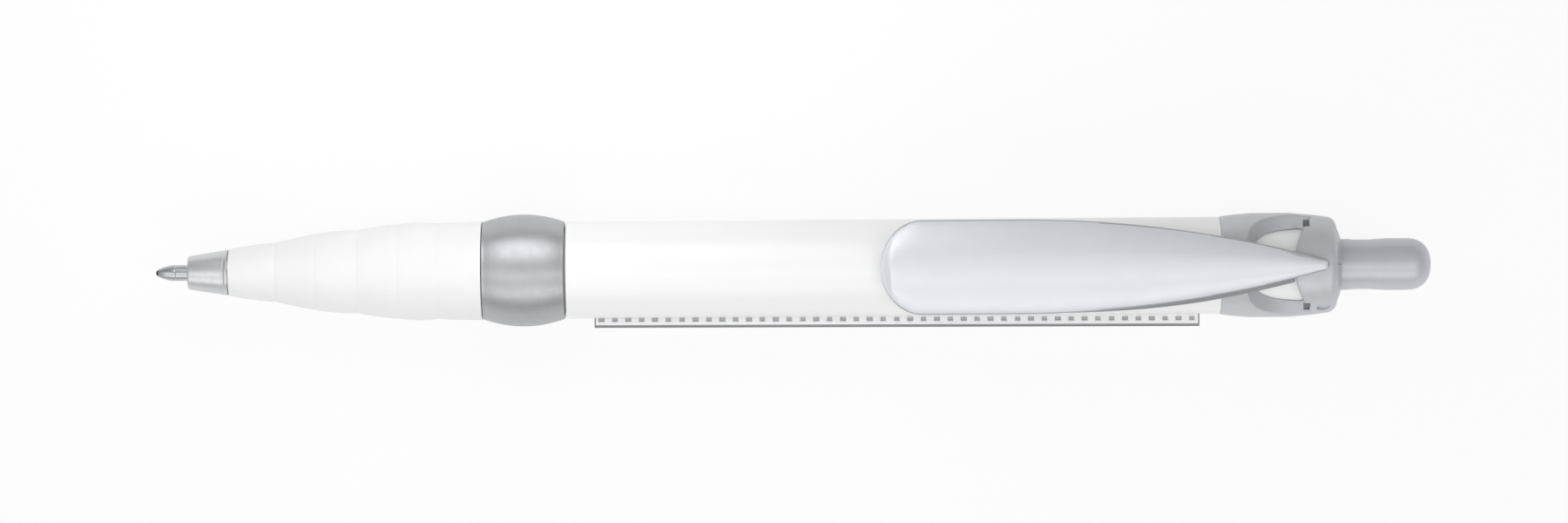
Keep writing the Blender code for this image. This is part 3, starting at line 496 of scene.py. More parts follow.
def make_grip():
    start, end = GRIP_X + GAP, RING_X - GAP
    collar_x, collar_r, bore_r = 12.2, 2.8415, NOSE_SPIGOT_R + GAP
    marks = [(0, 0), *GRIP_CREASES, (1, 1)]
    side = []
    for i, lobe in enumerate(GRIP_LOBES):
        low, high = marks[i], marks[i + 1]
        for step in range(25):
            share = step / 24
            if i and step == 0:
                continue
            place = between(low[0], high[0], share)
            low_r, high_r = (between(GRIP_FRONT_R, RING_END_R, mark[1]) for mark in (low, high))
            radius = between(low_r, high_r, share)
            radius += LOBE_RISE * lobe * math.sin(math.pi * share)
            x = between(start, end, place)
            for crease, _ in GRIP_CREASES:
                away = (x - between(start, end, crease)) / CREASE_REACH
                radius -= CREASE_DEPTH * math.exp(-away * away)
            side.append((x, radius))
    outline = [
        (start, bore_r),
        (start, side[0][1], 0.12),
        *side[1:-1],
        (end, side[-1][1], 0.08),
        (end, LOWER_BORE_R),
        *((between(GRIP_X, RING_X, place), r + GAP) for place, r in reversed(LOWER_TAPER)),
        (collar_x, collar_r),
        (collar_x, bore_r),
    ]
    dress(revolve("grip", outline, 160, 50), "rubber", "barrel", "grip_sleeve")


RING_BULGE = 0.8


def make_ring():
    start, end, rim = RING_X, BARREL_X - GAP, 0.15
    crown = []
    for i in range(33):
        share = i / 32
        x = between(start + rim, end - rim, share)
        crown.append((x, RING_END_R + RING_BULGE * (1 - (2 * share - 1) ** 2)))
    outline = [
        (start, LOWER_BORE_R),
        (start, RING_END_R - 0.03, 0.03),
        (start + 0.05, RING_END_R - 0.005, 0.02),
        *crown,
        (end - 0.1, RING_END_R - 0.01, 0.05),
        (end, RING_END_R - 0.1, 0.08),
        (end, LOWER_BORE_R),
    ]
    dress(revolve("ring", outline, 160), "satin_metal", "barrel", "trim_ring")


# Barrel, banner and spool

SLOT_HALF = 0.7
SLOT_START, SLOT_END = ROLL_X - 0.65, ROLL_END_X + 0.65


def make_barrel():
    """The tube as two grids, outer and inner, that leave out the slot and are joined at every rim."""
    front, edge = BARREL_X + GAP, 0.12
    profile = []  # x and outer radius
    for i in range(5):
        angle = math.pi / 2 * i / 4
        profile.append((front + edge * (1 - math.cos(angle)), BARREL_R - edge + edge * math.sin(angle)))
    xs = [between(front + edge, SLOT_START, i / 3) for i in (1, 2)]
    xs += [between(SLOT_START, SLOT_END, i / 60) for i in range(61)]
    xs += [between(SLOT_END, CAP_X - edge, i / 3) for i in (1, 2)]
    profile += [(x, BARREL_R) for x in xs]
    for i in range(5):
        angle = math.pi / 2 * (1 - i / 4)
        profile.append((CAP_X - edge * (1 - math.cos(angle)), BARREL_R - edge + edge * math.sin(angle)))
    profile += [(CAP_X, SPIGOT_R), (BARREL_END_X, SPIGOT_R)]
    sides, across = 150, 8
    points, faces = [], []

    def ring(x, radius):
        half = math.asin(SLOT_HALF / radius)
        first = len(points)
        for i in range(sides):
            if i < across:
                angle = between(-half, half, i / across)
            else:
                angle = between(half, math.tau - half, (i - across) / (sides - across))
            points.append((x, -radius * math.cos(angle), radius * math.sin(angle)))
        return first

    outer = [ring(x, r) for x, r in profile]
    inner = [ring(x, BARREL_BORE_R) for x, _ in profile]
    for k in range(len(profile) - 1):
        x0, x1 = profile[k][0], profile[k + 1][0]
        slotted = x0 > SLOT_START - TINY and x1 < SLOT_END + TINY
        for i in range(sides):
            j = (i + 1) % sides
            if slotted and i < across:
                continue
            faces.append((outer[k] + i, outer[k] + j, outer[k + 1] + j, outer[k + 1] + i))
            faces.append((inner[k] + i, inner[k + 1] + i, inner[k + 1] + j, inner[k] + j))
        if slotted:
            for i in (0, across):
                faces.append((outer[k] + i, outer[k + 1] + i, inner[k + 1] + i, inner[k] + i))
        for at, x, slot_end in ((k, x0, SLOT_START), (k + 1, x1, SLOT_END)):
            if abs(x - slot_end) < TINY:
                for i in range(across):
                    faces.append((outer[at] + i, outer[at] + i + 1, inner[at] + i + 1, inner[at] + i))
    for at in (0, len(profile) - 1):
        for i in range(sides):
            j = (i + 1) % sides
            faces.append((outer[at] + i, outer[at] + j, inner[at] + j, inner[at] + i))
    piece = add_mesh("barrel_skin", points, faces, 30)
    used = bmesh.new()
    used.from_mesh(piece.data)
    bmesh.ops.delete(used, geom=[v for v in used.verts if not v.link_faces], context="VERTS")
    used.to_mesh(piece.data)
    used.free()
    dress(piece, "white_gloss", "barrel", "barrel_tube")


BAR_IN_Y, BAR_FOLD_Y, BAR_OUT_Y, BAR_HALF = -4.7883, -6.7, -7.0283, 0.45
BAR_GROOVE_Y, BAR_GROOVE_HALF = -6.4, 0.1  # the groove that holds the banner's edge
BAR_SKEW = 0.3  # the bar's front end lies this much nearer to the axis
DIMPLE_PITCH, DIMPLE_FIRST, DIMPLE_Y = 1.558, 0.8, -6.05
DIMPLE_HALF_X, DIMPLE_HALF_Y, DIMPLE_DEPTH, LAST_DIMPLE = 0.36, 0.27, 0.13, 44


def bar_lean(x):
    return BAR_SKEW * (ROLL_END_X - x) / (ROLL_END_X - ROLL_X)


def dimple_reach(x, y):
    """How far a point is from the nearest dimple's middle, where 1 is the dimple's edge."""
    nearest = round((x - ROLL_X - DIMPLE_FIRST) / DIMPLE_PITCH)
    nearest = min(LAST_DIMPLE, max(0, nearest))
    away = abs(x - ROLL_X - DIMPLE_FIRST - nearest * DIMPLE_PITCH)
    return max(away / DIMPLE_HALF_X, abs(y - DIMPLE_Y) / DIMPLE_HALF_Y)


def make_bar():
    """The strip folded over the banner's edge, crimped in a row of dimples on both faces."""
    loop = []  # (y, z)
    top = [between(BAR_IN_Y, BAR_FOLD_Y, i / 24) for i in range(25)]
    loop += [(y, BAR_HALF) for y in top]
    for i in range(1, 12):
        angle = math.pi * i / 12
        fold_y = between(BAR_FOLD_Y, BAR_OUT_Y, math.sin(angle))
        loop.append((fold_y, BAR_HALF * math.cos(angle)))
    loop += [(y, -BAR_HALF) for y in reversed(top)]
    loop += [(BAR_IN_Y, -BAR_GROOVE_HALF), (BAR_GROOVE_Y, -BAR_GROOVE_HALF)]
    loop += [(BAR_GROOVE_Y, BAR_GROOVE_HALF), (BAR_IN_Y, BAR_GROOVE_HALF)]
    edge, first_edge, column_width = 0.16, 0.05, 0.1
    columns = [ROLL_X, ROLL_X + first_edge, ROLL_X + edge]
    steps = int((ROLL_END_X - ROLL_X - 2 * edge) / column_width)
    columns += [between(ROLL_X + edge, ROLL_END_X - edge, i / steps) for i in range(1, steps)]
    columns += [ROLL_END_X - edge, ROLL_END_X - first_edge, ROLL_END_X]
    dimple_rim, dimple_slope = 1.15, 0.4  # as shares of a dimple's half size
    sections = []
    for x in columns:
        squash = 0.9 if x in (ROLL_X, ROLL_END_X) else 1
        section = []
        for y, z in loop:
            if abs(abs(z) - BAR_HALF) < TINY:
                sink = DIMPLE_DEPTH * smooth((dimple_rim - dimple_reach(x, y)) / dimple_slope)
                z = math.copysign(BAR_HALF - sink, z)
            section.append((x, y + bar_lean(x), z * squash))
        sections.append(section)
    piece = loft("crimped_bar", sections, sharp=50)
    for finish in (FINISH["bar_metal"], EXTRA["bar_edge_shade"], EXTRA["bar_dimple_shade"]):
        piece.data.materials.append(finish)
    shaded_end, shaded_dimple_reach = 0.12, 0.9
    for face in piece.data.polygons:
        middle = PLACE.inverted() @ face.center
        across = middle.y - bar_lean(middle.x)
        at_end = min(middle.x - ROLL_X, ROLL_END_X - middle.x) < shaded_end
        outside = abs(middle.z) > 2 * BAR_GROOVE_HALF
        # painted shade: the folded outer edge and the bar's ends take the darkest finish
        if across < BAR_FOLD_Y or at_end:
            face.material_index = 1
        # painted shade: the dimples on the outer faces take a darker finish
        elif outside and dimple_reach(middle.x, across) < shaded_dimple_reach:
            face.material_index = 2
    dress(piece, "bar_metal", "banner", "pull_bar")


def make_film():
    """The banner's free end, from the roll out to the bar in the slot. It is tied to no body, so it stays
    put.
    """
    touch_r, half = 3.77, 0.06  # radius at which it lies on the roll, half its thickness
    flat_y, end_y = -4.3, -4.98
    pull_from_roll, pull_to_slot = 1.6, 1.2  # how strongly each end steers the curve between them
    hug, leave = math.radians(24), math.radians(144.5)
    path = []
    for i in range(9):
        angle = leave - hug * (1 - i / 8)
        path.append(Vector((touch_r * math.cos(angle), touch_r * math.sin(angle))))
    knot, out = path[-1], Vector((flat_y, 0.0))
    heading = Vector((-math.sin(leave), math.cos(leave))) * pull_from_roll
    for i in range(1, 17):
        t = i / 16
        path.append(
            knot * (1 + 2 * t) * (1 - t) ** 2
            + heading * t * (1 - t) ** 2
            + out * t * t * (3 - 2 * t)
            + Vector((-pull_to_slot, 0)) * t * t * (t - 1)
        )
    path += [Vector((between(flat_y, end_y, i / 40), 0.0)) for i in range(1, 41)]
    near, far = [], []
    for i, point in enumerate(path):
        ahead = (path[min(i + 1, len(path) - 1)] - path[max(i - 1, 0)]).normalized()
        normal = Vector((-ahead.y, ahead.x))
        near.append(point + normal * half)
        far.append(point - normal * half)
    loop = near + far[::-1]
    sections = []
    for i in range(13):
        x = between(ROLL_X, ROLL_END_X, i / 12)
        sections.append([(x, point.x, point.y) for point in loop])
    piece = loft("banner_film", sections, sharp=50)
    dress(piece, "banner_film", None, "banner_sheet")
    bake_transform(piece)


def make_roll():
    """The banner wound up on its core, turn on turn."""
    turns, step, thickness, core_r = 9.08, 0.09995, 0.085, 2.7
    count = int(turns * 64)
    inner, outer = [], []
    for i in range(count + 1):
        angle = math.tau * turns * i / count
        radius = min(core_r + step * turns * i / count, ROLL_R - thickness)
        for ring, grown in ((inner, 0), (outer, thickness)):
            ring.append(((radius + grown) * math.cos(angle), (radius + grown) * math.sin(angle)))
    loop = inner + outer[::-1]
    size = len(loop)
    points = [(x, y, z) for x in (ROLL_X, ROLL_END_X) for y, z in loop]
    faces = [(i, (i + 1) % size, size + (i + 1) % size, size + i) for i in range(size)]
    for base in (0, size):
        for i in range(count):
            faces.append((base + i, base + i + 1, base + size - 2 - i, base + size - 1 - i))
    dress(add_mesh("wound_banner", points, faces, 50), "banner_film", "spool", "banner_roll")


# Click housing, button and cap

def make_housing():
    """The sleeve inside barrel and cap, with four grooves along its bore for the plunger's ribs."""
    front_x, end_x, web_x, guide_x = 122.4, 136.05, 123.4, 127.85
    front_r, web_bore_r, chamber_r, guide_r, groove_r = 4.5383, 2.3, 3.83, 3.03, 3.73
    groove_half, groove_x, past_x = 1.1, guide_x - 0.3, 137.0
    outline = [
        (end_x, SLEEVE_R, 0.1),
        (CAP_STEP_X, SLEEVE_R),
        (CAP_STEP_X, front_r),
        (front_x, front_r, 0.1),
        (front_x, web_bore_r),
        (web_x, web_bore_r),
        (web_x, chamber_r),
        (guide_x, chamber_r),
        (guide_x, guide_r),
        (end_x, guide_r),
    ]
    piece = revolve("inner_sleeve", outline, 128)
    cutters = []
    for name, half_y, half_z in (("level", 4.0, groove_half), ("upright", groove_half, 4.0)):
        groove = box(name, (groove_x, -half_y, -half_z), (past_x, half_y, half_z))
        limit = revolve(f"{name}_limit", [(138, 0), (138, groove_r), (126, groove_r), (126, 0)], 96)
        cutters.append(combine(groove, "INTERSECT", limit))
    combine(piece, "DIFFERENCE", *cutters)
    dress(piece, "white_inner", "barrel", "click_housing")


# Share of the button's visible length, radius
BUTTON_SIDE = (
    (0.0, 2.971), (0.1, 2.945), (0.17, 2.88), (0.31, 2.88), (0.42, 2.958), (0.55, 3.01), (0.717, 3.01)
)


def make_button():
    length = END_X - BUTTON_X
    marks = [(BUTTON_X + length * place, radius) for place, radius in BUTTON_SIDE]
    side = []
    for i in range(41):
        x = between(marks[0][0], marks[-1][0], i / 40)
        side.append((x, smooth_curve(marks, x)))
    dome_x, dome_r = side[-1]
    power = 0.83  # under 1, for a dome with fuller shoulders than a sphere's
    dome = []
    for i in range(1, 20):
        angle = math.pi / 2 * i / 20
        dome.append((between(dome_x, END_X, math.sin(angle) ** power), dome_r * math.cos(angle) ** power))
    skirt_x, socket_x, socket_r = 132.0, 137.1, 1.4
    outline = [
        (END_X, 0),
        *reversed(dome),
        *reversed(side),
        (BUTTON_X - 1, BUTTON_SIDE[0][1]),
        (skirt_x, 2.88, 0.1),
        (skirt_x, socket_r),
        (socket_x, socket_r),
        (socket_x, 0),
    ]
    dress(revolve("button_cap", outline, 96), "button_plastic", "button", "push_button")


CAP_LENGTH = BUTTON_X - CAP_X
# Share of the cap's length, share of the way to its full radius and then to its shoulder's
CAP_SWELL = ((0.0, 0.0), (0.04, 0.25), (0.11, 0.58), (0.18, 0.78), (0.26, 1.0))
CAP_FALL = ((0.58, 0.0), (0.65, 0.2), (0.76, 0.5), (0.84, 0.8), (0.88, 1.0))


def cap_marks():
    marks = [(CAP_X + CAP_LENGTH * p, between(CAP_FRONT_R, CAP_R, s)) for p, s in CAP_SWELL]
    marks += [(CAP_X + CAP_LENGTH * p, between(CAP_R, CAP_SHOULDER_R, s)) for p, s in CAP_FALL]
    return marks


CAP_MARKS = cap_marks()


def cap_radius(x):
    return smooth_curve(CAP_MARKS, x)


# The collar behind the window has a front edge that is an arc, seen from above
COLLAR_R = 8.2
COLLAR_X = CAP_X + 8.4 + COLLAR_R
SCOOP_X, SCOOP_LENGTH, LEDGE_Z = CAP_X + 2.7, 7.7, 1.5


def collar_front(y, radius=COLLAR_R):
    return COLLAR_X - math.sqrt(radius**2 - y * y)


def on_cap(x, y):
    return Vector((x, y, math.sqrt(max(0.01, cap_radius(x) ** 2 - y * y))))


def window_cutter():
    """Cuts the window: a scoop down to a ledge, with its rim rounded, up to the collar's front."""
    rim, steps, scoop_end_x = 0.14, 44, 132.4
    ledge = [(132.5, 1.57), (133.05, 1.72), (133.5, 1.74), (134.2, 1.74), (135.2, 1.74), (138.6, 1.74)]
    floor = []  # (x, z)
    for i in range(1, steps + 1):
        angle = math.pi / 2 * i / steps
        x = SCOOP_X + SCOOP_LENGTH * (1 - math.cos(angle))
        if x < scoop_end_x:
            floor.append((x, between(CAP_R, LEDGE_Z, math.sin(angle))))
    floor += ledge
    rims = [Vector((x, math.sqrt(cap_radius(x) ** 2 - z * z), z)) for x, z in floor]
    sections = []
    for i, (x, z) in enumerate(floor):
        low, high = max(i - 1, 0), min(i + 1, len(floor) - 1)
        along = (rims[high] - rims[low]).normalized()
        run = Vector((floor[high][0] - floor[low][0], 0, floor[high][1] - floor[low][1])).normalized()
        inward = run.cross(Vector((0, 1, 0))).cross(along).normalized()
        if inward.y > 0:
            inward = -inward
        outward = Vector((0, rims[i].y, z)).normalized().cross(along).normalized()
        if outward.y < 0:
            outward = -outward
        start = rims[i] + inward * rim
        end = rims[i] + outward * rim
        radial = Vector((0, end.y, end.z)).normalized() * cap_radius(end.x)
        end = Vector((end.x, radial.y, radial.z))
        half = [rounded(start, rims[i], end, step / 6) for step in range(7)]
        half.append(Vector((end.x, end.y + 0.05, CAP_R + 1)))
        ring = [(v.x, v.y, v.z) for v in half]
        ring += [(v.x, -v.y, v.z) for v in reversed(half)]
        sections.append(ring)
    scoop = loft("scoop", sections)
    turns = [math.tau * k / 200 for k in range(200)]
    circle = [(COLLAR_X + COLLAR_R * math.cos(turn), COLLAR_R * math.sin(turn)) for turn in turns]
    keeper = loft("keeper", [[(x, y, z) for x, y in circle] for z in (-1.0, CAP_R + 2)])
    return combine(scoop, "DIFFERENCE", keeper)


def collar_step():
    """A fine step along the collar's front edge."""
    reach, width, depth, top = 4.45, 0.13, 0.16, CAP_R + 1.2
    sections = []
    for i in range(41):
        y = between(-reach, reach, i / 40)
        front, back = collar_front(y) - 0.05, collar_front(y, COLLAR_R - width)
        low = on_cap(back, y).z - depth
        sections.append([(front, y, low), (back, y, low), (back, y, top), (front, y, top)])
    return loft("collar_step", sections)


def parting_cutter(outline):
    """Cuts the fine parting line along the crown of the cap's end."""
    half = 0.035
    seam = [(x, r) for x, r, *_ in outline if 136.1 < x < BUTTON_X + 0.01 and r > 3.5]
    seam.append((BUTTON_X + 0.1, 3.46))
    sections = []
    for x, r in seam:
        low, high = r - 0.05, r + 0.6
        sections.append([(x, -half, low), (x, half, low), (x, half, high), (x, -half, high)])
    return loft("parting", sections)


def gate_cutter():
    """Cuts a shallow disc into the cap's side, as an injection gate leaves it."""
    along = Vector((1, 0, 0))
    away = Vector((0.0, -0.87, 0.49)).normalized()
    aside = away.cross(along).normalized()
    gate_x, radius = 135.3, 0.75
    turns = [math.tau * k / 40 for k in range(40)]
    discs = []
    for depth in (5.43, 7.0):
        centre = along * gate_x + away * depth
        discs.append([tuple(centre + radius * (along * math.cos(t) + aside * math.sin(t))) for t in turns])
    return loft("gate", discs)


# The clip's foot and its pocket in the cap
TAB_X, TAB_END_X, TAB_HALF, TAB_GAP = 132.86, 134.26, 0.6, 0.2


def make_cap():
    outline = []
    for i in range(61):
        x = between(CAP_X, CAP_MARKS[-1][0], i / 60)
        outline.append((x, cap_radius(x)))
    corner_x = CAP_MARKS[-1][0]
    length = (BUTTON_X - corner_x) * 0.75
    for i in range(1, 11):
        angle = math.pi / 2 * i / 10
        outline.append((corner_x + length * math.sin(angle), CAP_SHOULDER_R - 1.1 * (1 - math.cos(angle))))
    outline += [
        (BUTTON_X, 3.46, 0.12),
        (BUTTON_X, 3.16, 0.08),
        (CAP_WALL_X, 3.16),
        (CAP_WALL_X, CAP_BORE_R),
        (CAP_STEP_X, CAP_BORE_R),
        (CAP_STEP_X, CAP_SPIGOT_BORE_R),
        (CAP_X, CAP_SPIGOT_BORE_R),
    ]
    outline[0] = (*outline[0], 0.08)
    piece = revolve("cap", outline, 160)
    cutters = [window_cutter(), collar_step()]
    notch_x, notch_y, notch_z = (133.08, 133.76), (4.44, 5.2), (0.75, 6.5)
    for side in (-1, 1):
        near, far = sorted(side * y for y in notch_y)
        cutters.append(box("notch", (notch_x[0], near, notch_z[0]), (notch_x[1], far, notch_z[1])))
    cutters += [parting_cutter(outline), gate_cutter()]
    pocket_low = (TAB_X - TAB_GAP, -TAB_HALF - TAB_GAP, cap_radius(TAB_END_X) - 0.7)
    pocket_high = (TAB_END_X + TAB_GAP, TAB_HALF + TAB_GAP, CAP_R + 1)
    cutters.append(box("tab_pocket", pocket_low, pocket_high))
    combine(piece, "DIFFERENCE", *cutters)
    dress(piece, "silver_plastic", "barrel", "rear_cap")


# Clip

CLIP_X, CLIP_NOSE_END_X, CLIP_TAPER_X = 84.06, 88.86, 100.0
CLIP_POINT_X, CLIP_END_X = 134.8, 135.8
CLIP_HALF_WIDTH, CLIP_POINT_HALF_WIDTH = 5.45, 0.76
CLIP_THIN, CLIP_THICK, CLIP_EDGE_THICK = 0.6, 1.9, 1.2
CLIP_DROP = 0.9  # how far its edges lie below its middle where it is widest
CLIP_CLEAR = 0.15  # over the cap
CLIP_LIFT = 0.4  # how much higher over the cap's level its nose lies
CLIP_THICK_FROM = 0.667  # share of its full width from which it is at its thickest
CLIP_ROUNDING = 0.45  # of both its ends
PAD_X, PAD_R, PAD_ROUNDING = 92.56, 2.1, 0.4


def clip_half_width(x):
    width = CLIP_HALF_WIDTH
    if x < CLIP_NOSE_END_X:
        share = (CLIP_NOSE_END_X - x) / (CLIP_NOSE_END_X - CLIP_X)
        return width * math.sqrt(max(0.0, 1 - share**2))
    if x > CLIP_TAPER_X:
        share = min(1.0, (x - CLIP_TAPER_X) / (CLIP_POINT_X - CLIP_TAPER_X))
        width = between(width, CLIP_POINT_HALF_WIDTH, share**2)
    if x > CLIP_POINT_X:
        share = (x - CLIP_POINT_X) / (CLIP_END_X - CLIP_POINT_X)
        width *= math.sqrt(max(0.0, 1 - share**2))
    return width


def clip_underside(x):
    if x > CAP_X + CAP_FALL[0][0] * CAP_LENGTH:
        return cap_radius(x) + CLIP_CLEAR
    rise = max(0.0, (CAP_X - x) / (CAP_X - CLIP_X))
    return CAP_R + CLIP_CLEAR + CLIP_LIFT * math.sin(math.pi / 2 * rise)


def clip_thickness(x):
    """Fullness of the clip at x, where 1 is its widest, and its thickness in the middle and at its edge."""
    fullness = clip_half_width(x) / CLIP_HALF_WIDTH
    middle = between(CLIP_THIN, CLIP_THICK, min(1.0, fullness / CLIP_THICK_FROM))
    return fullness, middle, min(middle, CLIP_EDGE_THICK)


def clip_section(x, count=88):
    width = clip_half_width(x)
    fullness, middle, edge = clip_thickness(x)
    inset = min(x - CLIP_X, CLIP_END_X - x)
    if inset < CLIP_ROUNDING:
        rounding = math.sqrt(1 - (1 - inset / CLIP_ROUNDING) ** 2)
        middle, edge = middle * rounding, edge * rounding
    base = clip_underside(x)
    points = []
    power = between(0.8, 0.48, smooth(fullness / 0.6))
    for i in range(count):
        angle = math.tau * (i + 0.5) / count
        parts = math.cos(angle), math.sin(angle)
        side, rise = (math.copysign(abs(part) ** power, part) for part in parts)
        thickness = between(middle, edge, side**2)
        centre = base + middle / 2 - CLIP_DROP * fullness * side**2
        points.append((x, width * side, centre + rise * thickness / 2))
    return points


def make_pad():
    """The round pad under the clip's nose, with a rounded foot just off the barrel."""
    rings = [(BARREL_R + 1.9, PAD_R)]
    for i in range(8):
        angle = math.pi / 2 * i / 7
        low = BARREL_R + GAP + PAD_ROUNDING * (1 - math.sin(angle))
        rings.insert(0, (low, PAD_R - PAD_ROUNDING + PAD_ROUNDING * math.cos(angle)))
    turns = [math.tau * k / 48 for k in range(48)]
    sections = []
    for z, radius in rings:
        sections.append([(PAD_X + radius * math.cos(turn), radius * math.sin(turn), z) for turn in turns])
    return loft("pad", sections)


def make_clip():
    nose, point = CLIP_NOSE_END_X - CLIP_X, CLIP_END_X - CLIP_POINT_X
    places = [CLIP_X + nose * (1 - math.cos(math.radians(a))) for a in (2, 4, 6, *range(9, 91, 3))]
    places += [between(CLIP_NOSE_END_X, CLIP_TAPER_X, i / 16) for i in range(1, 17)]
    places += [between(CLIP_TAPER_X, CLIP_POINT_X, i / 60) for i in range(1, 61)]
    places += [CLIP_POINT_X + point * math.sin(math.radians(a)) for a in range(12, 85, 12)]
    piece = loft("pocket_clip", [clip_section(x) for x in places], sharp=60)
    foot_z = cap_radius(TAB_END_X)
    tab = box("tab", (TAB_X, -TAB_HALF, foot_z - 0.6), (TAB_END_X, TAB_HALF, foot_z + 0.6))
    combine(piece, "UNION", make_pad(), tab, sharp=50)
    piece.data.materials.clear()
    for finish in (FINISH["clip_plastic"], EXTRA["clip_edge_shade"], EXTRA["clip_bevel_shade"]):
        piece.data.materials.append(finish)
    shade_rim_width, shade_rim_slope, shade_bevel_x, shade_bevel_run = 0.16, 0.93, 128.5, 4
    for face in piece.data.polygons:
        middle = PLACE.inverted() @ face.center
        # painted shade: the steep faces along the clip's outline, and its point's end, take a dark finish
        rim = abs(middle.y) > clip_half_width(middle.x) - shade_rim_width and abs(face.normal.z) < shade_rim_slope
        # painted shade: faces turned to +Y near the point take a darker finish, as the shaded side
        shade_bevel_slope = between(0.8, 0.42, smooth((middle.x - shade_bevel_x) / shade_bevel_run))
        bevel = middle.x > shade_bevel_x and face.normal.y > shade_bevel_slope
        if rim or middle.x > CLIP_END_X - 0.2:
            face.material_index = 1
        elif bevel:
            face.material_index = 2
    dress(piece, "clip_plastic", "clip", "clip")
    make_clip_painted_shadow()


def make_clip_painted_shadow():
    """Painted shadow: a dark strip that stands out from under the clip on its -Y side, towards its root."""
    start_x, end_x, reach, bevel, height = 100.5, 131.8, 0.52, 0.06, 0.3
    grow, hang, tuck = 22, 0.62, 0.9  # over what length it comes out, how low it hangs, where it starts
    sections = []
    for i in range(49):
        x = between(start_x, end_x, i / 48)
        width = clip_half_width(x)
        fullness, middle, edge = clip_thickness(x)
        low = clip_underside(x) + middle / 2 - CLIP_DROP * fullness - hang * edge / CLIP_EDGE_THICK
        high = low + height
        out = -(width + reach * smooth((x - start_x) / grow) - bevel)
        inner = -max(0.3, width - tuck)
        outer = [(out + bevel, low), (out, low + bevel), (out, high - bevel), (out + bevel, high)]
        sections.append([(x, y, z) for y, z in ((inner, low), *outer, (inner, high))])
    piece = loft("clip_painted_shadow", sections)
    piece.data.materials.append(EXTRA["clip_painted_shadow"])
    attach(piece, "clip")


make_tip()
make_nose()
make_grip()
make_ring()
make_barrel()
make_bar()
make_film()
make_roll()
make_housing()
make_button()
make_cap()
make_clip()

WIRE = 0.35
FLAT_SHARE = math.cos(math.pi / 9)  # the CAD's curls are polygons, and this is where their flats lie
NOSE_SPRING_X, NOSE_SPRING_END_X, NOSE_SPRING_R = 6.74, 14.94, 1.5165
WINDING_SPRING_X, WINDING_SPRING_END_X, WINDING_SPRING_R = 38.9, 49.5, 2.687
nose_coil_r, winding_coil_r = NOSE_SPRING_R * FLAT_SHARE, WINDING_SPRING_R * FLAT_SHARE + 0.02
refill_spring = coil("nose_spring", NOSE_SPRING_X, NOSE_SPRING_END_X, nose_coil_r, WIRE, 9)
dress(refill_spring, "spring_steel", None, "refill_spring")
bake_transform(refill_spring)
winding_spring = coil("winding_spring", WINDING_SPRING_X, WINDING_SPRING_END_X, winding_coil_r, WIRE, 11)
dress(winding_spring, "spring_steel", "barrel", "return_spring")

# Nodes that keep the CAD's own mesh
KEPT = {
    "lower_barrel": "white_inner",
    "spool_bearing": "white_inner",
    "spool_core": "cam_plastic",
    "spool_flange_front": "cam_plastic",
    "spool_flange_rear": "cam_plastic",
    "refill_tube": "refill_plastic",
    "rotating_cam": "cam_plastic",
    "plunger": "cam_plastic",
}
for name, slot in KEPT.items():
    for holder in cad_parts[name].material_slots:
        holder.material = FINISH[slot]

# Stage, light and camera

WHITE_SHARE = 0.88  # how much of the floor shows as plain white; the rest takes the pen's shadow


def floor_material():
    made = bpy.data.materials.new("floor")
    made.use_nodes = True
    tree = made.node_tree
    tree.nodes.clear()
    out = node(tree, "ShaderNodeOutputMaterial")
    lit = node(tree, "ShaderNodeBsdfDiffuse", Color=(0.92, 0.92, 0.92, 1))
    white = node(tree, "ShaderNodeEmission")
    path = node(tree, "ShaderNodeLightPath")
    seen = node(tree, "ShaderNodeMath", operation="ADD", use_clamp=True)
    tree.links.new(path.outputs["Is Camera Ray"], seen.inputs[0])
    through = node(tree, "ShaderNodeMath", operation="ADD")
    tree.links.new(path.outputs["Is Glossy Ray"], through.inputs[0])
    tree.links.new(path.outputs["Is Transmission Ray"], through.inputs[1])
    tree.links.new(through.outputs["Value"], seen.inputs[1])
    part = node(tree, "ShaderNodeMath", operation="MULTIPLY")
    part.inputs[1].default_value = WHITE_SHARE
    tree.links.new(seen.outputs["Value"], part.inputs[0])
    mix = node(tree, "ShaderNodeMixShader")
    tree.links.new(part.outputs["Value"], mix.inputs["Fac"])
    tree.links.new(lit.outputs["BSDF"], mix.inputs[1])
    tree.links.new(white.outputs["Emission"], mix.inputs[2])
    tree.links.new(mix.outputs["Shader"], out.inputs["Surface"])
    return made


def make_floor():
    mesh = bpy.data.meshes.new("floor")
    half = 6.0
    corners = [(-half, -half, 0), (half, -half, 0), (half, half, 0), (-half, half, 0)]
    mesh.from_pydata(corners, [], [(0, 1, 2, 3)])
    floor = bpy.data.objects.new("floor", mesh)
    bpy.context.scene.collection.objects.link(floor)
    mesh.materials.append(floor_material())


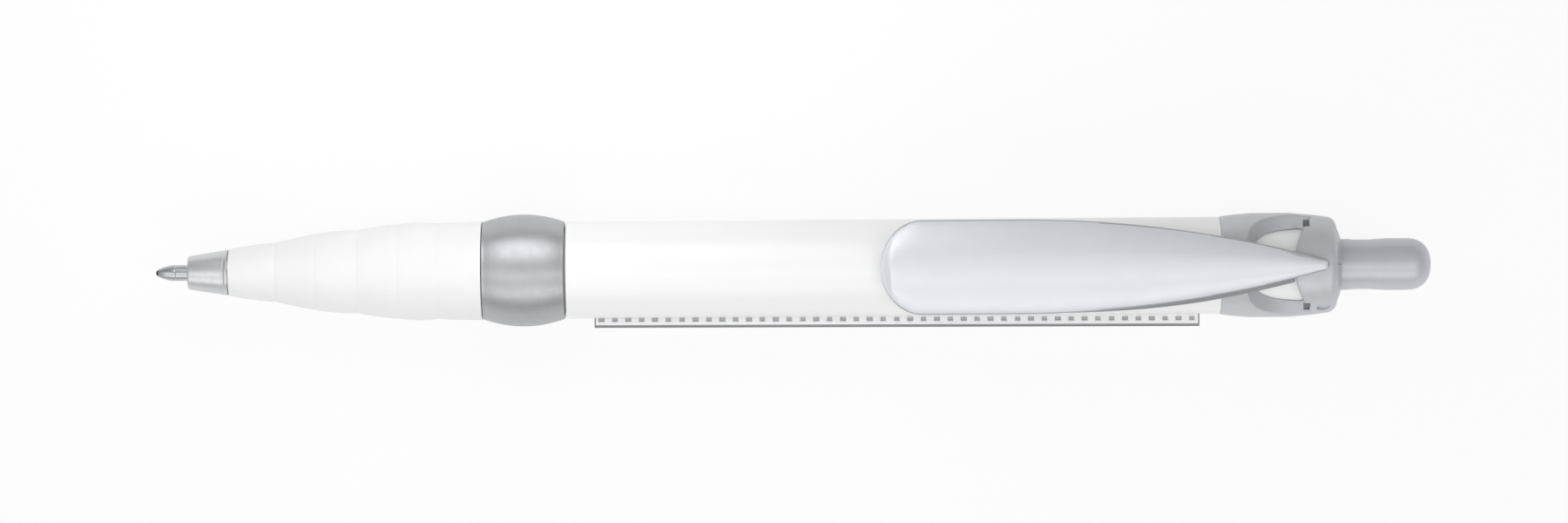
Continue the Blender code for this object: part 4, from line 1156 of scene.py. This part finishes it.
def make_world():
    world = bpy.data.worlds.new("studio")
    bpy.context.scene.world = world
    world.use_nodes = True
    tree = world.node_tree
    tree.nodes.clear()
    out = node(tree, "ShaderNodeOutputWorld")
    room = node(tree, "ShaderNodeBackground", Color=(1, 1, 1, 1), Strength=0.46)
    seen = node(tree, "ShaderNodeBackground")
    path = node(tree, "ShaderNodeLightPath")
    mix = node(tree, "ShaderNodeMixShader")
    tree.links.new(path.outputs["Is Camera Ray"], mix.inputs["Fac"])
    tree.links.new(room.outputs["Background"], mix.inputs[1])
    tree.links.new(seen.outputs["Background"], mix.inputs[2])
    tree.links.new(mix.outputs["Shader"], out.inputs["Surface"])


def panel_power(radiance, size):
    """Power of a panel whose surface shows at that radiance, where 1 is white."""
    return radiance * math.pi * size[0] * size[1]


def add_panel(name, distance, tilt, size, radiance, lean=0, across=0):
    """A soft box that faces the place at x = across, tilted from overhead to +Y and leaned to +X."""
    angle, along = math.radians(tilt), math.radians(lean)
    away = Vector((math.sin(along), math.sin(angle) * math.cos(along), math.cos(angle) * math.cos(along)))
    light = bpy.data.lights.new(name, "AREA")
    light.shape = "RECTANGLE"
    light.size, light.size_y = size
    light.energy = panel_power(radiance, size)
    lamp = bpy.data.objects.new(name, light)
    lamp.location = away * distance + Vector((across, 0, 0))
    lamp.rotation_euler = away.to_track_quat("Z", "Y").to_euler()
    bpy.context.scene.collection.objects.link(lamp)


make_floor()
make_world()
add_panel("overhead", 1.0, -13, (1.6, 0.28), 1.24)
add_panel("key", 0.08, 39.5, (0.087, 0.056), 1.68, across=-0.035)
add_panel("fill", 0.8, -48, (1.4, 0.42), 1.19)
add_panel("front_end", 0.8, 0, (0.4, 0.5), 0.5, lean=-28, across=-0.036)
add_panel("rear_end", 0.8, 0, (0.35, 0.5), 0.4, lean=26, across=-0.036)

camera_data = bpy.data.cameras.new("camera")
camera = bpy.data.objects.new("camera", camera_data)
bpy.context.scene.collection.objects.link(camera)
DISTANCE = 0.75
PIXEL = 0.10116 * MM  # what a pixel of the photograph shows
PHOTO_WIDTH, SENSOR = 1800, 36
camera_data.sensor_width = SENSOR
camera_data.lens = SENSOR * DISTANCE / (PHOTO_WIDTH * PIXEL)
camera_data.clip_end = 20
camera.location = (-0.00106, 0.00082, AXIS_Z * MM + DISTANCE)
camera.rotation_euler = (0, 0, -0.0074)
bpy.context.scene.camera = camera
bpy.context.scene.view_settings.view_transform = "Standard"
